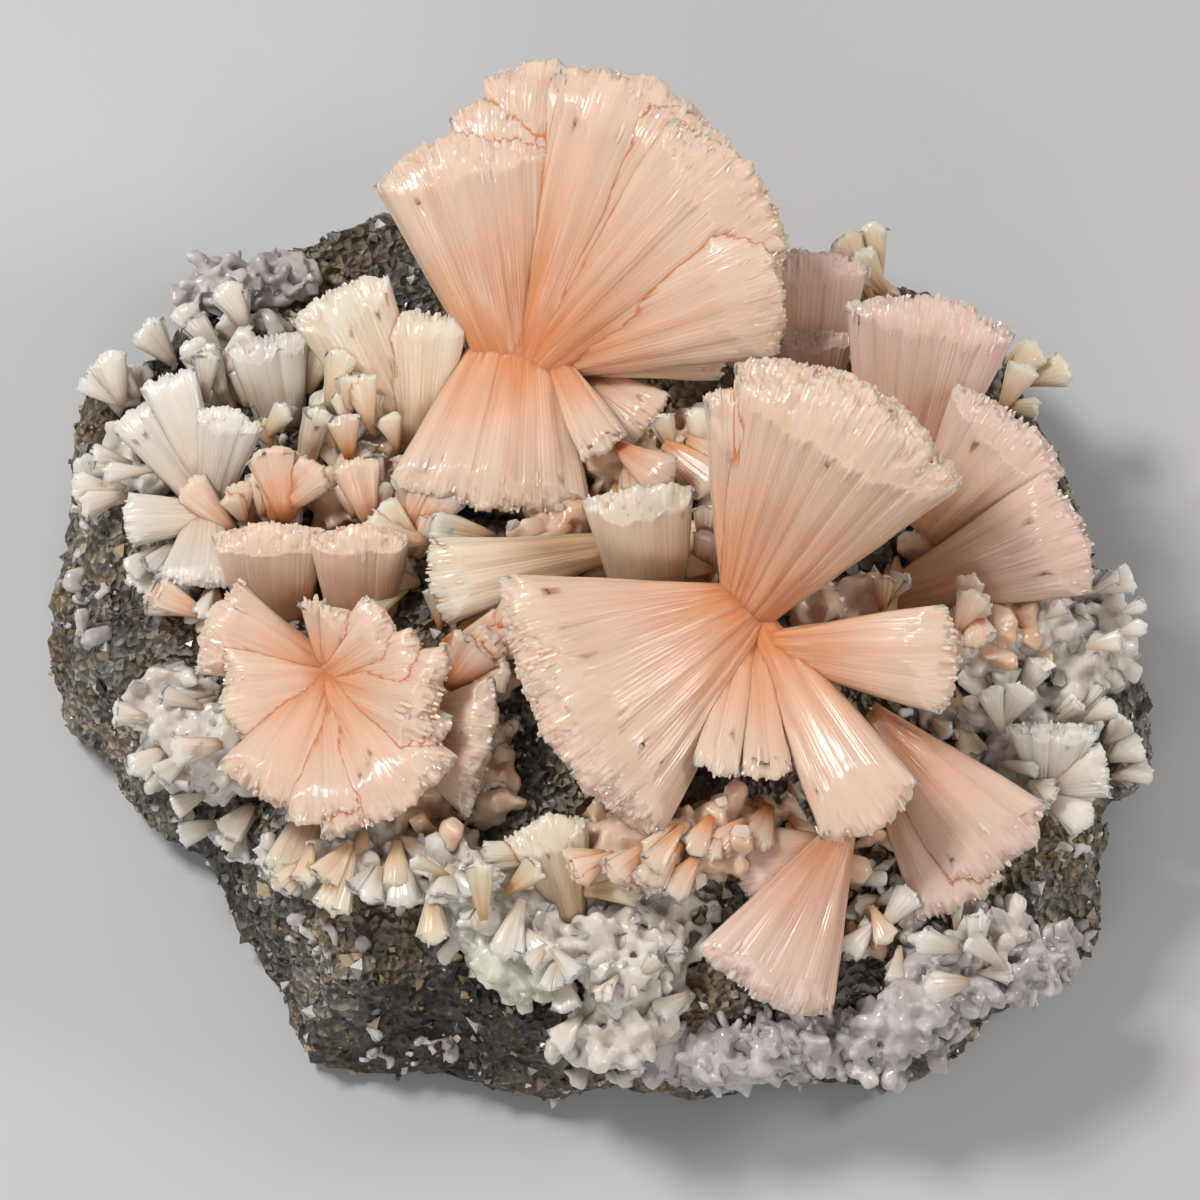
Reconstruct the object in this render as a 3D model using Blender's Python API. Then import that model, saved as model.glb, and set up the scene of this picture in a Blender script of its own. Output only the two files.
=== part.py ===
"""Stilbite crystal groups on a lump of basalt, in metres, +Z up, resting on the flat broken underside at z = 0."""
import math
import random

import bmesh
import bpy
from mathutils import Matrix, Vector, noise
from mathutils.bvhtree import BVHTree

# ---------------------------------------------------------------- driving dimensions
UNIT = 0.000108          # metres per drawing unit, in the tilted drawing plane
TILT = math.radians(66)  # angle of the drawing's line of sight above the horizon
EYE_AT = 0.54            # distance of the viewpoint from the middle of the drawing
MIDDLE_Z = 0.028         # height of the middle of the drawing
GAP = 0.00033            # clearance between neighbouring bodies
SIDES = 12               # columns round a large lobe

GROUND = 0.0180          # height of the rock's top far from its hill
HILL = 0.0078            # extra height at the middle of the rock
HILL_X, HILL_Y = 0.004, 0.010
HILL_R = 0.030

BACK = Vector((0.0, -math.cos(TILT), math.sin(TILT)))
UP = Vector((0.0, math.sin(TILT), math.cos(TILT)))
EYE = Vector((0.0, 0.0, MIDDLE_Z)) + BACK * EYE_AT


def seen(px, py, z):
    """The point at height z that the drawing shows at (px, py)."""
    d = -BACK * EYE_AT + Vector((1, 0, 0)) * ((px - 600) * UNIT) + UP * ((600 - py) * UNIT)
    return EYE + d * ((z - EYE.z) / d.z)


def ground(x, y):
    """Smooth height of the rock's top."""
    r2 = ((x - HILL_X) ** 2 + (y - HILL_Y) ** 2) / (2 * HILL_R ** 2)
    return GROUND + HILL * math.exp(-r2) + 0.0011 * noise.noise(Vector((x * 45, y * 45, 3.1)))


def above(px, py, h):
    """The point h millimetres above the rock's top that the drawing shows at (px, py)."""
    z = 0.024 + h / 1000
    for _ in range(12):
        p = seen(px, py, z)
        z = ground(p.x, p.y) + h / 1000
    return seen(px, py, z)


# ---------------------------------------------------------------- outline of the rock: x, y, height in millimetres of its widest level
OUTLINE = [
    (380, 213, 17), (318, 242, 17), (265, 262, 17), (208, 280, 16), (172, 335, 15), (133, 368, 13), (83, 402, 12),
    (70, 465, 11), (66, 540, 10), (57, 600, 9), (45, 665, 8), (60, 720, 7), (95, 752, 6), (120, 795, 6), (165, 838, 6),
    (205, 858, 5), (225, 912, 5), (262, 968, 5), (290, 1010, 4), (312, 1050, 4), (372, 1063, 4), (440, 1067, 4),
    (500, 1090, 4), (560, 1103, 4), (625, 1080, 4), (690, 1098, 4), (780, 1080, 4), (860, 1080, 4), (900, 1077, 4),
    (955, 1055, 5), (1000, 1008, 5), (1040, 997, 5), (1098, 955, 6), (1104, 905, 6), (1095, 860, 7), (1108, 812, 7),
    (1152, 768, 8), (1145, 705, 9), (1128, 665, 10), (1116, 615, 11), (1092, 570, 12), (1076, 505, 13), (1048, 430, 14),
    (1012, 355, 15), (950, 305, 15), (860, 272, 15), (760, 255, 15), (650, 246, 15), (540, 238, 16), (450, 222, 16),
]
RINGS = (0.90, 0.77, 0.62, 0.46, 0.30, 0.14)

# ---------------------------------------------------------------- crystal fans
# waist x, y, height above rock; tip x, y, height; half widths at waist and tip; half thicknesses at waist and tip; roll; dome
FANS = {
    "upper_bow_tie": [
        (506, 352, 6, 456, 136, 22, 34, 102, 26, 54, 0, .10),
        (522, 342, 7, 556, 66, 24, 26, 76, 20, 46, 0, .06),
        (536, 350, 6, 654, 82, 26, 30, 98, 26, 60, 0, .08),
        (548, 355, 6, 748, 166, 25, 28, 94, 24, 56, 0, .08),
        (556, 360, 5, 778, 276, 20, 22, 80, 18, 48, 0, .10),
        (560, 366, 4, 730, 348, 10, 12, 34, 10, 24, 0, .08),
        (512, 350, 6, 488, 508, 5, 46, 108, 20, 36, 0, .06),
        (556, 360, 6, 606, 452, 7, 12, 28, 10, 18, 0, .06),
        (564, 366, 2, 650, 430, 3, 14, 44, 12, 26, 0, .08),
    ],
    "central_bow_tie": [
        (748, 602, 6, 868, 388, 30, 34, 138, 30, 88, 0, .12),
        (738, 600, 5, 746, 388, 26, 18, 44, 18, 50, 0, .05),
        (742, 612, 6, 546, 730, 15, 32, 160, 26, 66, 0, .06),
        (766, 632, 6, 878, 824, 13, 18, 60, 18, 44, 0, .07),
        (744, 636, 6, 714, 776, 12, 14, 26, 12, 18, 0, .05),
        (756, 640, 6, 766, 780, 12, 12, 28, 10, 18, 0, .05),
        (778, 648, 7, 960, 660, 18, 20, 58, 18, 40, 0, .10),
    ],
    "right_rear_sheaf": [
        (902, 470, 4, 934, 298, 19, 42, 94, 26, 46, 0, .10),
        (936, 520, 4, 1020, 418, 16, 28, 76, 20, 42, 0, .08),
    ],
    "right_fan": [
        (905, 592, 3, 1084, 526, 14, 22, 70, 16, 40, 0, .08),
    ],
    "rear_fan": [
        (804, 380, 1, 814, 252, 12, 40, 62, 22, 34, 0, .08),
        (815, 398, 2, 818, 332, 11, 26, 42, 16, 26, 0, .08),
    ],
    "upper_left_sheaf": [
        (402, 430, 1, 334, 288, 14, 30, 58, 24, 38, 0, .08),
        (414, 434, 1, 414, 310, 11, 32, 60, 22, 34, 0, .08),
    ],
    "white_tuft": [(280, 414, 0, 266, 336, 8, 28, 44, 20, 28, 0, .10)],
    "upright_crystal": [(304, 472, 0, 321, 410, 9, 11, 19, 9, 14, 0, .05)],
    "left_spray": [
        (205, 492, 1, 166, 374, 8, 16, 32, 14, 20, 0, .08),
        (200, 500, 1, 132, 410, 6, 16, 30, 14, 20, 0, .08),
        (212, 498, 1, 232, 412, 10, 18, 38, 14, 26, 0, .08),
        (206, 516, 1, 126, 520, 6, 16, 30, 14, 20, 0, .06),
        (206, 516, 1, 196, 586, 5, 18, 46, 14, 22, 0, .06),
    ],
    "middle_left_tufts": [
        (274, 600, 0, 268, 528, 9, 42, 60, 28, 38, 0, .12),
        (362, 606, 0, 360, 528, 9, 38, 52, 26, 36, 0, .12),
    ],
    "lower_left_rosette": [
        (322, 672, 6, 206, 622, 12, 20, 56, 16, 34, 0, .07),
        (326, 674, 6, 310, 598, 13, 9, 15, 9, 12, 0, .03),
        (334, 672, 6, 396, 634, 13, 18, 50, 16, 30, 0, .07),
        (338, 682, 6, 436, 716, 13, 24, 74, 18, 36, 0, .07),
        (330, 688, 6, 396, 812, 11, 24, 82, 20, 36, 0, .07),
        (326, 688, 6, 280, 804, 10, 24, 74, 20, 36, 0, .07),
        (424, 735, 2, 488, 750, 8, 34, 76, 18, 30, 0, .07),
    ],
    "pale_blade": [(314, 806, 0, 287, 880, 4, 16, 30, 13, 18, 0, .06)],
    "cream_sheaf": [(588, 552, 3, 428, 582, 7, 20, 46, 16, 32, 0, .06)],
    "upright_sheaf": [(650, 592, 1, 638, 488, 13, 38, 58, 24, 36, 0, .08)],
    "front_fan": [
        (834, 848, 5, 758, 998, 4, 22, 78, 16, 34, 0, .05),
        (826, 852, 2, 742, 882, 3, 22, 64, 14, 26, 0, .05),
    ],
    "right_front_fan": [
        (884, 728, 4, 1010, 864, 6, 20, 74, 16, 36, 0, .06),
        (892, 772, 2, 964, 908, 4, 26, 52, 16, 30, 0, .06),
    ],
    "cream_cluster": [
        (572, 928, 0, 545, 820, 9, 14, 46, 14, 30, 0, .06),
        (556, 852, 5, 484, 858, 8, 11, 18, 10, 13, 0, .03),
    ],
    "right_spray": [
        (1052, 782, 0, 1108, 770, 4, 16, 30, 14, 20, 0, .06),
        (1046, 780, 0, 1052, 722, 6, 22, 46, 16, 24, 0, .06),
    ],
}

# ---------------------------------------------------------------- lumps of small crystals: x, y, height above rock, half widths along x, y, z
LUMPS = {
    "rounded_lump": [(370, 416, 2, 52, 30, 34)],
    "pale_lumps": [(484, 896, 1, 46, 42, 34), (528, 950, 0, 50, 52, 36)],
    "rosette_foot_lumps": [(362, 858, 0, 56, 32, 28), (440, 866, 0, 52, 32, 28)],
    "left_druse": [(180, 716, 0, 46, 42, 26), (222, 758, 0, 42, 38, 28)],
    "top_left_crust": [(222, 292, 0, 40, 22, 20), (280, 278, 0, 36, 20, 20)],
    "front_druse": [(622, 955, 0, 50, 44, 26), (612, 1022, -3, 46, 46, 26)],
    "front_rim_druse": [(702, 1052, -7, 58, 28, 40), (790, 1044, -6, 58, 28, 40), (872, 1034, -5, 46, 30, 36)],
    "right_front_druse": [(935, 985, -1, 50, 44, 28), (1018, 960, -2, 54, 36, 30)],
    "right_druse": [(1044, 624, 1, 46, 40, 32), (1084, 642, 0, 46, 50, 28)],
    "bead_cluster": [(650, 842, 1, 50, 34, 28), (726, 842, 1, 44, 30, 26)],
    "middle_druse": [(966, 642, 2, 48, 32, 28)],
}

ORDER = [
    "central_bow_tie", "upper_bow_tie", "lower_left_rosette", "right_rear_sheaf", "right_fan", "rear_fan",
    "upper_left_sheaf", "left_spray", "middle_left_tufts", "cream_sheaf", "upright_sheaf", "front_fan",
    "right_front_fan", "cream_cluster", "right_spray", "pale_blade", "white_tuft", "upright_crystal", "rounded_lump",
    "pale_lumps", "rosette_foot_lumps", "left_druse", "top_left_crust", "front_druse", "front_rim_druse",
    "right_front_druse", "right_druse", "bead_cluster", "middle_druse",
]
COLOURS = {
    "peach": (0.83, 0.50, 0.34), "pink": (0.80, 0.50, 0.38), "cream": (0.80, 0.66, 0.50), "white": (0.80, 0.78, 0.76),
    "greenish": (0.72, 0.74, 0.66), "basalt": (0.035, 0.036, 0.040),
}
LOOK = {
    "central_bow_tie": "peach", "upper_bow_tie": "peach", "lower_left_rosette": "peach", "right_rear_sheaf": "pink",
    "right_fan": "pink", "rear_fan": "pink", "upper_left_sheaf": "cream", "middle_left_tufts": "peach",
    "cream_sheaf": "cream", "upright_sheaf": "cream", "front_fan": "pink", "right_front_fan": "pink",
    "cream_cluster": "cream", "pale_lumps": "greenish", "rounded_lump": "greenish", "pale_blade": "cream",
}


# ---------------------------------------------------------------- helpers
def new_object(name, verts, faces):
    mesh = bpy.data.meshes.new(name)
    mesh.from_pydata([tuple(v) for v in verts], [], faces)
    bm = bmesh.new()
    bm.from_mesh(mesh)
    bmesh.ops.recalc_face_normals(bm, faces=bm.faces)
    bmesh.ops.triangulate(bm, faces=bm.faces)
    bm.to_mesh(mesh)
    bm.free()
    ob = bpy.data.objects.new(name, mesh)
    bpy.context.scene.collection.objects.link(ob)
    return ob


def drop(ob):
    mesh = ob.data
    bpy.data.objects.remove(ob)
    bpy.data.meshes.remove(mesh)


def rock(grow=0.0):
    centre = seen(592, 650, 0.012)
    rim = []
    pts = [seen(px, py, h / 1000) for px, py, h in OUTLINE]
    for p, (_, _, h) in zip(pts, OUTLINE):
        v = Vector((p.x - centre.x, p.y - centre.y, 0))
        rim.append((v, h / 1000))
    n = len(rim)
    verts, faces = [], []

    def rough(v, layer, size=1.6):
        u = v.normalized() * size
        return noise.noise(Vector((u.x, u.y, layer))) + 0.5 * noise.noise(Vector((u.x * 3.1, u.y * 3.1, layer + 4)))

    def ring(scale, height, wobble, layer):
        first = len(verts)
        for v, h in rim:
            s = scale + wobble * rough(v, layer)
            q = v.normalized() * (v.length + grow) * s
            x, y = centre.x + q.x, centre.y + q.y
            verts.append(Vector((x, y, height(v, x, y, h))))
        return first

    rows = [
        ring(0.90, lambda v, x, y, h: -grow, 0.10, 1.3),
        ring(0.965, lambda v, x, y, h: 0.36 * h, 0.05, 2.6),
        ring(1.0, lambda v, x, y, h: h, 0.0, 3.0),
        ring(0.962, lambda v, x, y, h: h + (0.55 + 0.3 * rough(v, 5.2)) * max(0.0, ground(x, y) - h) + grow, 0.05, 4.4),
    ]
    for k, s in enumerate(RINGS):
        drop_by = 0.0016 if k == 0 else 0.0
        rows.append(ring(s, lambda v, x, y, h: ground(x, y) - drop_by
                         + 0.0014 * noise.noise(Vector((x * 150, y * 150, 9.2))) + grow, 0.03, 6.0 + k))
    for a, b in zip(rows, rows[1:]):
        for i in range(n):
            j = (i + 1) % n
            faces.append((a + i, a + j, b + j, b + i))
    top = len(verts)
    verts.append(Vector((centre.x, centre.y, ground(centre.x, centre.y) + grow)))
    last = rows[-1]
    faces += [(last + i, last + (i + 1) % n, top) for i in range(n)]
    faces.append(tuple(reversed(range(n))))
    return new_object("rock", verts, faces)


def fan(name, row, seed, grow=0.0):
    """A closed fan of crystals: narrow at its waist, ragged at its domed end."""
    wx, wy, wh, tx, ty, th, w0, w1, t0, t1, roll, dome = row
    rnd = random.Random(seed)
    waist, tip = above(wx, wy, wh), above(tx, ty, th)
    w0, w1, t0, t1 = (v * UNIT for v in (w0, w1, t0, t1))
    axis = (tip - waist)
    length = axis.length
    axis.normalize()
    side = axis.cross(BACK).normalized()
    thick = side.cross(axis).normalized()
    if roll:
        turn = Matrix.Rotation(math.radians(roll), 3, axis)
        side, thick = turn @ side, turn @ thick
    belly = 0.30 + 0.25 * t1 / w1    # how much sooner the front and back blades end than the middle ones
    au = math.asin(min(0.95, (w1 - w0) / length))
    av = math.asin(min(0.95, (t1 - t0) / length))
    sides = SIDES if w1 > 30 * UNIT else 8

    def point(u, v, rho, far):
        d = (axis * (math.cos(au * u) * math.cos(av * v)) + side * math.sin(au * u) + thick * math.sin(av * v)).normalized()
        reach = length * (1 - dome * u * u - belly * v * v) * (1 + far)
        start = waist + side * ((w0 + grow) * u) + thick * ((t0 + grow) * v)
        spread = (side * u + thick * v) * grow * rho
        return start + spread + d * (reach * rho + (grow if rho > 0.9 else (-grow if rho <= 0 else 0)))

    verts, faces = [], []
    edge = []
    for i in range(sides):
        a = 2 * math.pi * (i + 0.5) / sides
        c, s = math.cos(a), math.sin(a)
        edge.append((math.copysign(abs(c) ** 0.75, c), math.copysign(abs(s) ** 0.75, s)))
    ragged = [rnd.uniform(-0.045, 0.03) for _ in range(sides)]
    inner = [rnd.uniform(-0.03, 0.02) for _ in range(sides)]
    rows = []
    for rho in (-0.06, 0.45, 1.0):
        rows.append(len(verts))
        for i, (u, v) in enumerate(edge):
            bulge = 1.0 if rho != 0.45 else 0.98
            verts.append(point(u * bulge, v * bulge, rho, ragged[i] if rho == 1.0 else 0))
    rows.append(len(verts))
    for i, (u, v) in enumerate(edge):
        verts.append(point(u * 0.6, v * 0.6, 1.0, inner[i]))
    for a, b in zip(rows, rows[1:]):
        for i in range(sides):
            j = (i + 1) % sides
            faces.append((a + i, a + j, b + j, b + i))
    mid = len(verts)
    verts.append(point(0, 0, 1.0, 0.01))
    faces += [(rows[-1] + i, rows[-1] + (i + 1) % sides, mid) for i in range(sides)]
    faces.append(tuple(reversed(range(sides))))
    return new_object(name, verts, faces)


def lump(name, row, seed, grow=0.0):
    """A closed knobbly lump."""
    px, py, h, rx, ry, rz = row
    rnd = random.Random(seed)
    c = above(px, py, h)
    bm = bmesh.new()
    bmesh.ops.create_icosphere(bm, subdivisions=2, radius=1.0)
    verts = []
    for v in bm.verts:
        k = 0.98 + 0.30 * noise.noise(v.co * 1.7 + Vector((seed % 97, 0.5, 0.5))) + rnd.uniform(-0.06, 0.06)
        verts.append(c + Vector((v.co.x * (rx * UNIT * k + grow), v.co.y * (ry * UNIT * 1.05 * k + grow), v.co.z * (rz * UNIT * k + grow))))
    faces = [tuple(v.index for v in f.verts) for f in bm.faces]
    bm.free()
    return new_object(name, verts, faces)


def pieces_of(node, grow=0.0):
    rows = [("fan", r) for r in FANS.get(node, [])] + [("lump", r) for r in LUMPS.get(node, [])]
    seed = sum(ord(ch) * (i + 3) for i, ch in enumerate(node))
    return [(fan if kind == "fan" else lump)(f"{node}_{i}", row, seed + i, grow) for i, (kind, row) in enumerate(rows)]


def combine(ob, others, how):
    """ob joined with the others, or cut by them."""
    for other in others:
        m = ob.modifiers.new("b", "BOOLEAN")
        m.operation = how
        m.solver = "EXACT"
        m.object = other
        deps = bpy.context.evaluated_depsgraph_get()
        mesh = bpy.data.meshes.new_from_object(ob.evaluated_get(deps))
        ob.modifiers.clear()
        old = ob.data
        ob.data = mesh
        bpy.data.meshes.remove(old)


def tree_of(ob):
    bm = bmesh.new()
    bm.from_mesh(ob.data)
    tree = BVHTree.FromBMesh(bm)
    bm.free()
    return tree


def tidy(ob):
    """Keeps the largest body and drops slivers, merging less where that would open the surface."""
    for near in (0.00004, 0.00002, 0.00001, 0.000004, 0.0):
        bm = bmesh.new()
        bm.from_mesh(ob.data)
        if near:
            bmesh.ops.remove_doubles(bm, verts=bm.verts, dist=near)
            bmesh.ops.dissolve_degenerate(bm, edges=bm.edges, dist=near * 0.75)
        bmesh.ops.dissolve_limit(bm, angle_limit=math.radians(1.0), verts=bm.verts, edges=bm.edges)
        bmesh.ops.triangulate(bm, faces=bm.faces)
        if all(len(e.link_faces) == 2 for e in bm.edges) or not near:
            break
        bm.free()
    left = set(bm.verts)
    bodies = []
    while left:
        stack = [left.pop()]
        body = set(stack)
        while stack:
            for e in stack.pop().link_edges:
                for w in e.verts:
                    if w in left:
                        left.discard(w)
                        body.add(w)
                        stack.append(w)
        bodies.append(body)

    def size(body):
        lo = [min(v.co[k] for v in body) for k in range(3)]
        hi = [max(v.co[k] for v in body) for k in range(3)]
        return (hi[0] - lo[0]) * (hi[1] - lo[1]) * (hi[2] - lo[2])

    bodies.sort(key=size, reverse=True)
    for body in bodies[1:]:
        bmesh.ops.delete(bm, geom=list(body), context="VERTS")
    bmesh.ops.recalc_face_normals(bm, faces=bm.faces)
    bm.to_mesh(ob.data)
    bm.free()
    return len(bodies)


# ---------------------------------------------------------------- build
for ob in list(bpy.data.objects):
    bpy.data.objects.remove(ob)

materials = {}


def wear(ob, look):
    if look not in materials:
        m = bpy.data.materials.new(look)
        m.use_nodes = True
        b = m.node_tree.nodes["Principled BSDF"]
        b.inputs["Base Color"].default_value = (*COLOURS[look], 1)
        b.inputs["Roughness"].default_value = 0.85 if look == "basalt" else 0.35
        materials[look] = m
    ob.data.materials.clear()
    ob.data.materials.append(materials[look])
    for p in ob.data.polygons:
        p.material_index = 0


base = rock()
base.name = "basalt_matrix"
wear(base, "basalt")
bed = rock(GAP)
bed_tree = tree_of(bed)
grown = []   # (node, [grown pieces with their trees])
for node in ORDER:
    pieces = pieces_of(node)
    body = pieces[0]
    combine(body, pieces[1:], "UNION")
    for p in pieces[1:]:
        drop(p)
    tree = tree_of(body)
    if tree.overlap(bed_tree):
        combine(body, [bed], "DIFFERENCE")
    for other, cutters in grown:
        for cutter, cutter_tree in cutters:
            if tree_of(body).overlap(cutter_tree):
                combine(body, [cutter], "DIFFERENCE")
    bodies = tidy(body)
    body.name = node
    wear(body, LOOK.get(node, "white"))
    print(node, "bodies", bodies, "triangles", len(body.data.polygons))
    grown.append((node, [(g, tree_of(g)) for g in pieces_of(node, GAP)]))
drop(bed)
for _, cutters in grown:
    for cutter, _ in cutters:
        drop(cutter)

# the origin lies at the middle of the whole on the resting plane
low = [min(v.co[k] for o in bpy.data.objects for v in o.data.vertices) for k in range(3)]
high = [max(v.co[k] for o in bpy.data.objects for v in o.data.vertices) for k in range(3)]
middle = Vector(((low[0] + high[0]) / 2, (low[1] + high[1]) / 2, low[2]))
for o in bpy.data.objects:
    o.data.transform(Matrix.Translation(-middle))
print("middle", tuple(middle), "all triangles", sum(len(o.data.polygons) for o in bpy.data.objects))
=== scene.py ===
"""Stilbite on basalt: the looks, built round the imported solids."""
import math

import bmesh
import bpy
import numpy as np
from mathutils import Matrix, Vector, noise
from mathutils.bvhtree import BVHTree


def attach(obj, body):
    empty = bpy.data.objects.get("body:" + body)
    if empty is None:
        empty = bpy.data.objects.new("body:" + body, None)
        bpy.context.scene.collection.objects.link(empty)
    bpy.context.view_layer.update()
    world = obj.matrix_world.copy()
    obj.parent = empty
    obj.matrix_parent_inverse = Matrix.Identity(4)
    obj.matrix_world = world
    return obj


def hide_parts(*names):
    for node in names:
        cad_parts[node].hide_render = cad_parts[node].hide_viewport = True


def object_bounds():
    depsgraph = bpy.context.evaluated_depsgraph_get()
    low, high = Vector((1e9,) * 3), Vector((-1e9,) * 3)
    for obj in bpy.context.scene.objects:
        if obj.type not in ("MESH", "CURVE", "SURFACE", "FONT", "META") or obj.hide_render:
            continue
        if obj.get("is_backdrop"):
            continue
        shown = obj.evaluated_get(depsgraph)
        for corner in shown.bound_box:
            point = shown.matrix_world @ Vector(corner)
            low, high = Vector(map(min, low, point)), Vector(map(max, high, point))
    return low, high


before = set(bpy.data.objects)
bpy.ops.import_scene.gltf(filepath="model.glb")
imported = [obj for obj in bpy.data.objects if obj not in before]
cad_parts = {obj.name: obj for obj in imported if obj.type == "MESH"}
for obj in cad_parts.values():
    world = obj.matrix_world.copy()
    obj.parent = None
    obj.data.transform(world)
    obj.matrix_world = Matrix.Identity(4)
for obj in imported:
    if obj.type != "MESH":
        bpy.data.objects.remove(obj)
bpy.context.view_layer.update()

# ---------------------------------------------------------------- layout, as in the solids
UNIT = 0.000108
TILT = math.radians(66)
EYE_AT = 0.54
MIDDLE_Z = 0.028
MIDDLE = Vector((-0.00044626742601394653, 0.0040390342473983765, 0.0))
GROUND, HILL, HILL_X, HILL_Y, HILL_R = 0.0180, 0.0078, 0.004, 0.010, 0.030

BACK = Vector((0.0, -math.cos(TILT), math.sin(TILT)))
UP = Vector((0.0, math.sin(TILT), math.cos(TILT)))
EYE = Vector((0.0, 0.0, MIDDLE_Z)) + BACK * EYE_AT
EYE_W = EYE - MIDDLE


def line(px, py):
    return (-BACK * EYE_AT + Vector((1, 0, 0)) * ((px - 600) * UNIT) + UP * ((600 - py) * UNIT)).normalized()


def seen(px, py, z):
    d = line(px, py)
    return EYE + d * ((z - EYE.z) / d.z)


def ground(x, y):
    r2 = ((x - HILL_X) ** 2 + (y - HILL_Y) ** 2) / (2 * HILL_R ** 2)
    return GROUND + HILL * math.exp(-r2) + 0.0011 * noise.noise(Vector((x * 45, y * 45, 3.1)))


def above(px, py, h):
    z = 0.024 + h / 1000
    for _ in range(12):
        p = seen(px, py, z)
        z = ground(p.x, p.y) + h / 1000
    return seen(px, py, z)


# ---------------------------------------------------------------- crystal fans
# waist x, y, height above rock; tip x, y, height; half widths at waist and tip; half thicknesses at waist and tip; roll; dome
FANS = {
    "upper_bow_tie": [
        (506, 352, 6, 456, 136, 22, 34, 102, 26, 54, 0, .10),
        (522, 342, 7, 556, 66, 24, 26, 76, 20, 46, 0, .06),
        (536, 350, 6, 654, 82, 26, 30, 98, 26, 60, 0, .08),
        (548, 355, 6, 748, 166, 25, 28, 94, 24, 56, 0, .08),
        (556, 360, 5, 778, 276, 20, 22, 80, 18, 48, 0, .10),
        (560, 366, 4, 730, 348, 10, 12, 34, 10, 24, 0, .08),
        (512, 350, 6, 488, 508, 5, 46, 108, 20, 36, 0, .06),
        (556, 360, 6, 606, 452, 7, 12, 28, 10, 18, 0, .06),
        (564, 366, 2, 650, 430, 3, 14, 44, 12, 26, 0, .08),
    ],
    "central_bow_tie": [
        (748, 602, 6, 868, 388, 30, 34, 138, 30, 88, 0, .12),
        (738, 600, 5, 746, 388, 26, 18, 44, 18, 50, 0, .05),
        (742, 612, 6, 546, 730, 15, 32, 160, 26, 66, 0, .06),
        (766, 632, 6, 878, 824, 13, 18, 60, 18, 44, 0, .07),
        (744, 636, 6, 714, 776, 12, 14, 26, 12, 18, 0, .05),
        (756, 640, 6, 766, 780, 12, 12, 28, 10, 18, 0, .05),
        (778, 648, 7, 960, 660, 18, 20, 58, 18, 40, 0, .10),
    ],
    "right_rear_sheaf": [
        (902, 470, 4, 934, 298, 19, 42, 94, 26, 46, 0, .10),
        (936, 520, 4, 1020, 418, 16, 28, 76, 20, 42, 0, .08),
    ],
    "right_fan": [
        (905, 592, 3, 1084, 526, 14, 22, 70, 16, 40, 0, .08),
    ],
    "rear_fan": [
        (804, 380, 1, 814, 252, 12, 40, 62, 22, 34, 0, .08),
        (815, 398, 2, 818, 332, 11, 26, 42, 16, 26, 0, .08),
    ],
    "upper_left_sheaf": [
        (402, 430, 1, 334, 288, 14, 30, 58, 24, 38, 0, .08),
        (414, 434, 1, 414, 310, 11, 32, 60, 22, 34, 0, .08),
    ],
    "white_tuft": [(280, 414, 0, 266, 336, 8, 28, 44, 20, 28, 0, .10)],
    "upright_crystal": [(304, 472, 0, 321, 410, 9, 11, 19, 9, 14, 0, .05)],
    "left_spray": [
        (205, 492, 1, 166, 374, 8, 16, 32, 14, 20, 0, .08),
        (200, 500, 1, 132, 410, 6, 16, 30, 14, 20, 0, .08),
        (212, 498, 1, 232, 412, 10, 18, 38, 14, 26, 0, .08),
        (206, 516, 1, 126, 520, 6, 16, 30, 14, 20, 0, .06),
        (206, 516, 1, 196, 586, 5, 18, 46, 14, 22, 0, .06),
    ],
    "middle_left_tufts": [
        (274, 600, 0, 268, 528, 9, 42, 60, 28, 38, 0, .12),
        (362, 606, 0, 360, 528, 9, 38, 52, 26, 36, 0, .12),
    ],
    "lower_left_rosette": [
        (322, 672, 6, 206, 622, 12, 20, 56, 16, 34, 0, .07),
        (326, 674, 6, 310, 598, 13, 9, 15, 9, 12, 0, .03),
        (334, 672, 6, 396, 634, 13, 18, 50, 16, 30, 0, .07),
        (338, 682, 6, 436, 716, 13, 24, 74, 18, 36, 0, .07),
        (330, 688, 6, 396, 812, 11, 24, 82, 20, 36, 0, .07),
        (326, 688, 6, 280, 804, 10, 24, 74, 20, 36, 0, .07),
        (424, 735, 2, 488, 750, 8, 34, 76, 18, 30, 0, .07),
    ],
    "pale_blade": [(314, 806, 0, 287, 880, 4, 16, 30, 13, 18, 0, .06)],
    "cream_sheaf": [(588, 552, 3, 428, 582, 7, 20, 46, 16, 32, 0, .06)],
    "upright_sheaf": [(650, 592, 1, 638, 488, 13, 38, 58, 24, 36, 0, .08)],
    "front_fan": [
        (834, 848, 5, 758, 998, 4, 22, 78, 16, 34, 0, .05),
        (826, 852, 2, 742, 882, 3, 22, 64, 14, 26, 0, .05),
    ],
    "right_front_fan": [
        (884, 728, 4, 1010, 864, 6, 20, 74, 16, 36, 0, .06),
        (892, 772, 2, 964, 908, 4, 26, 52, 16, 30, 0, .06),
    ],
    "cream_cluster": [
        (572, 928, 0, 545, 820, 9, 14, 46, 14, 30, 0, .06),
        (556, 852, 5, 484, 858, 8, 11, 18, 10, 13, 0, .03),
    ],
    "right_spray": [
        (1052, 782, 0, 1108, 770, 4, 16, 30, 14, 20, 0, .06),
        (1046, 780, 0, 1052, 722, 6, 22, 46, 16, 24, 0, .06),
    ],
}

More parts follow.
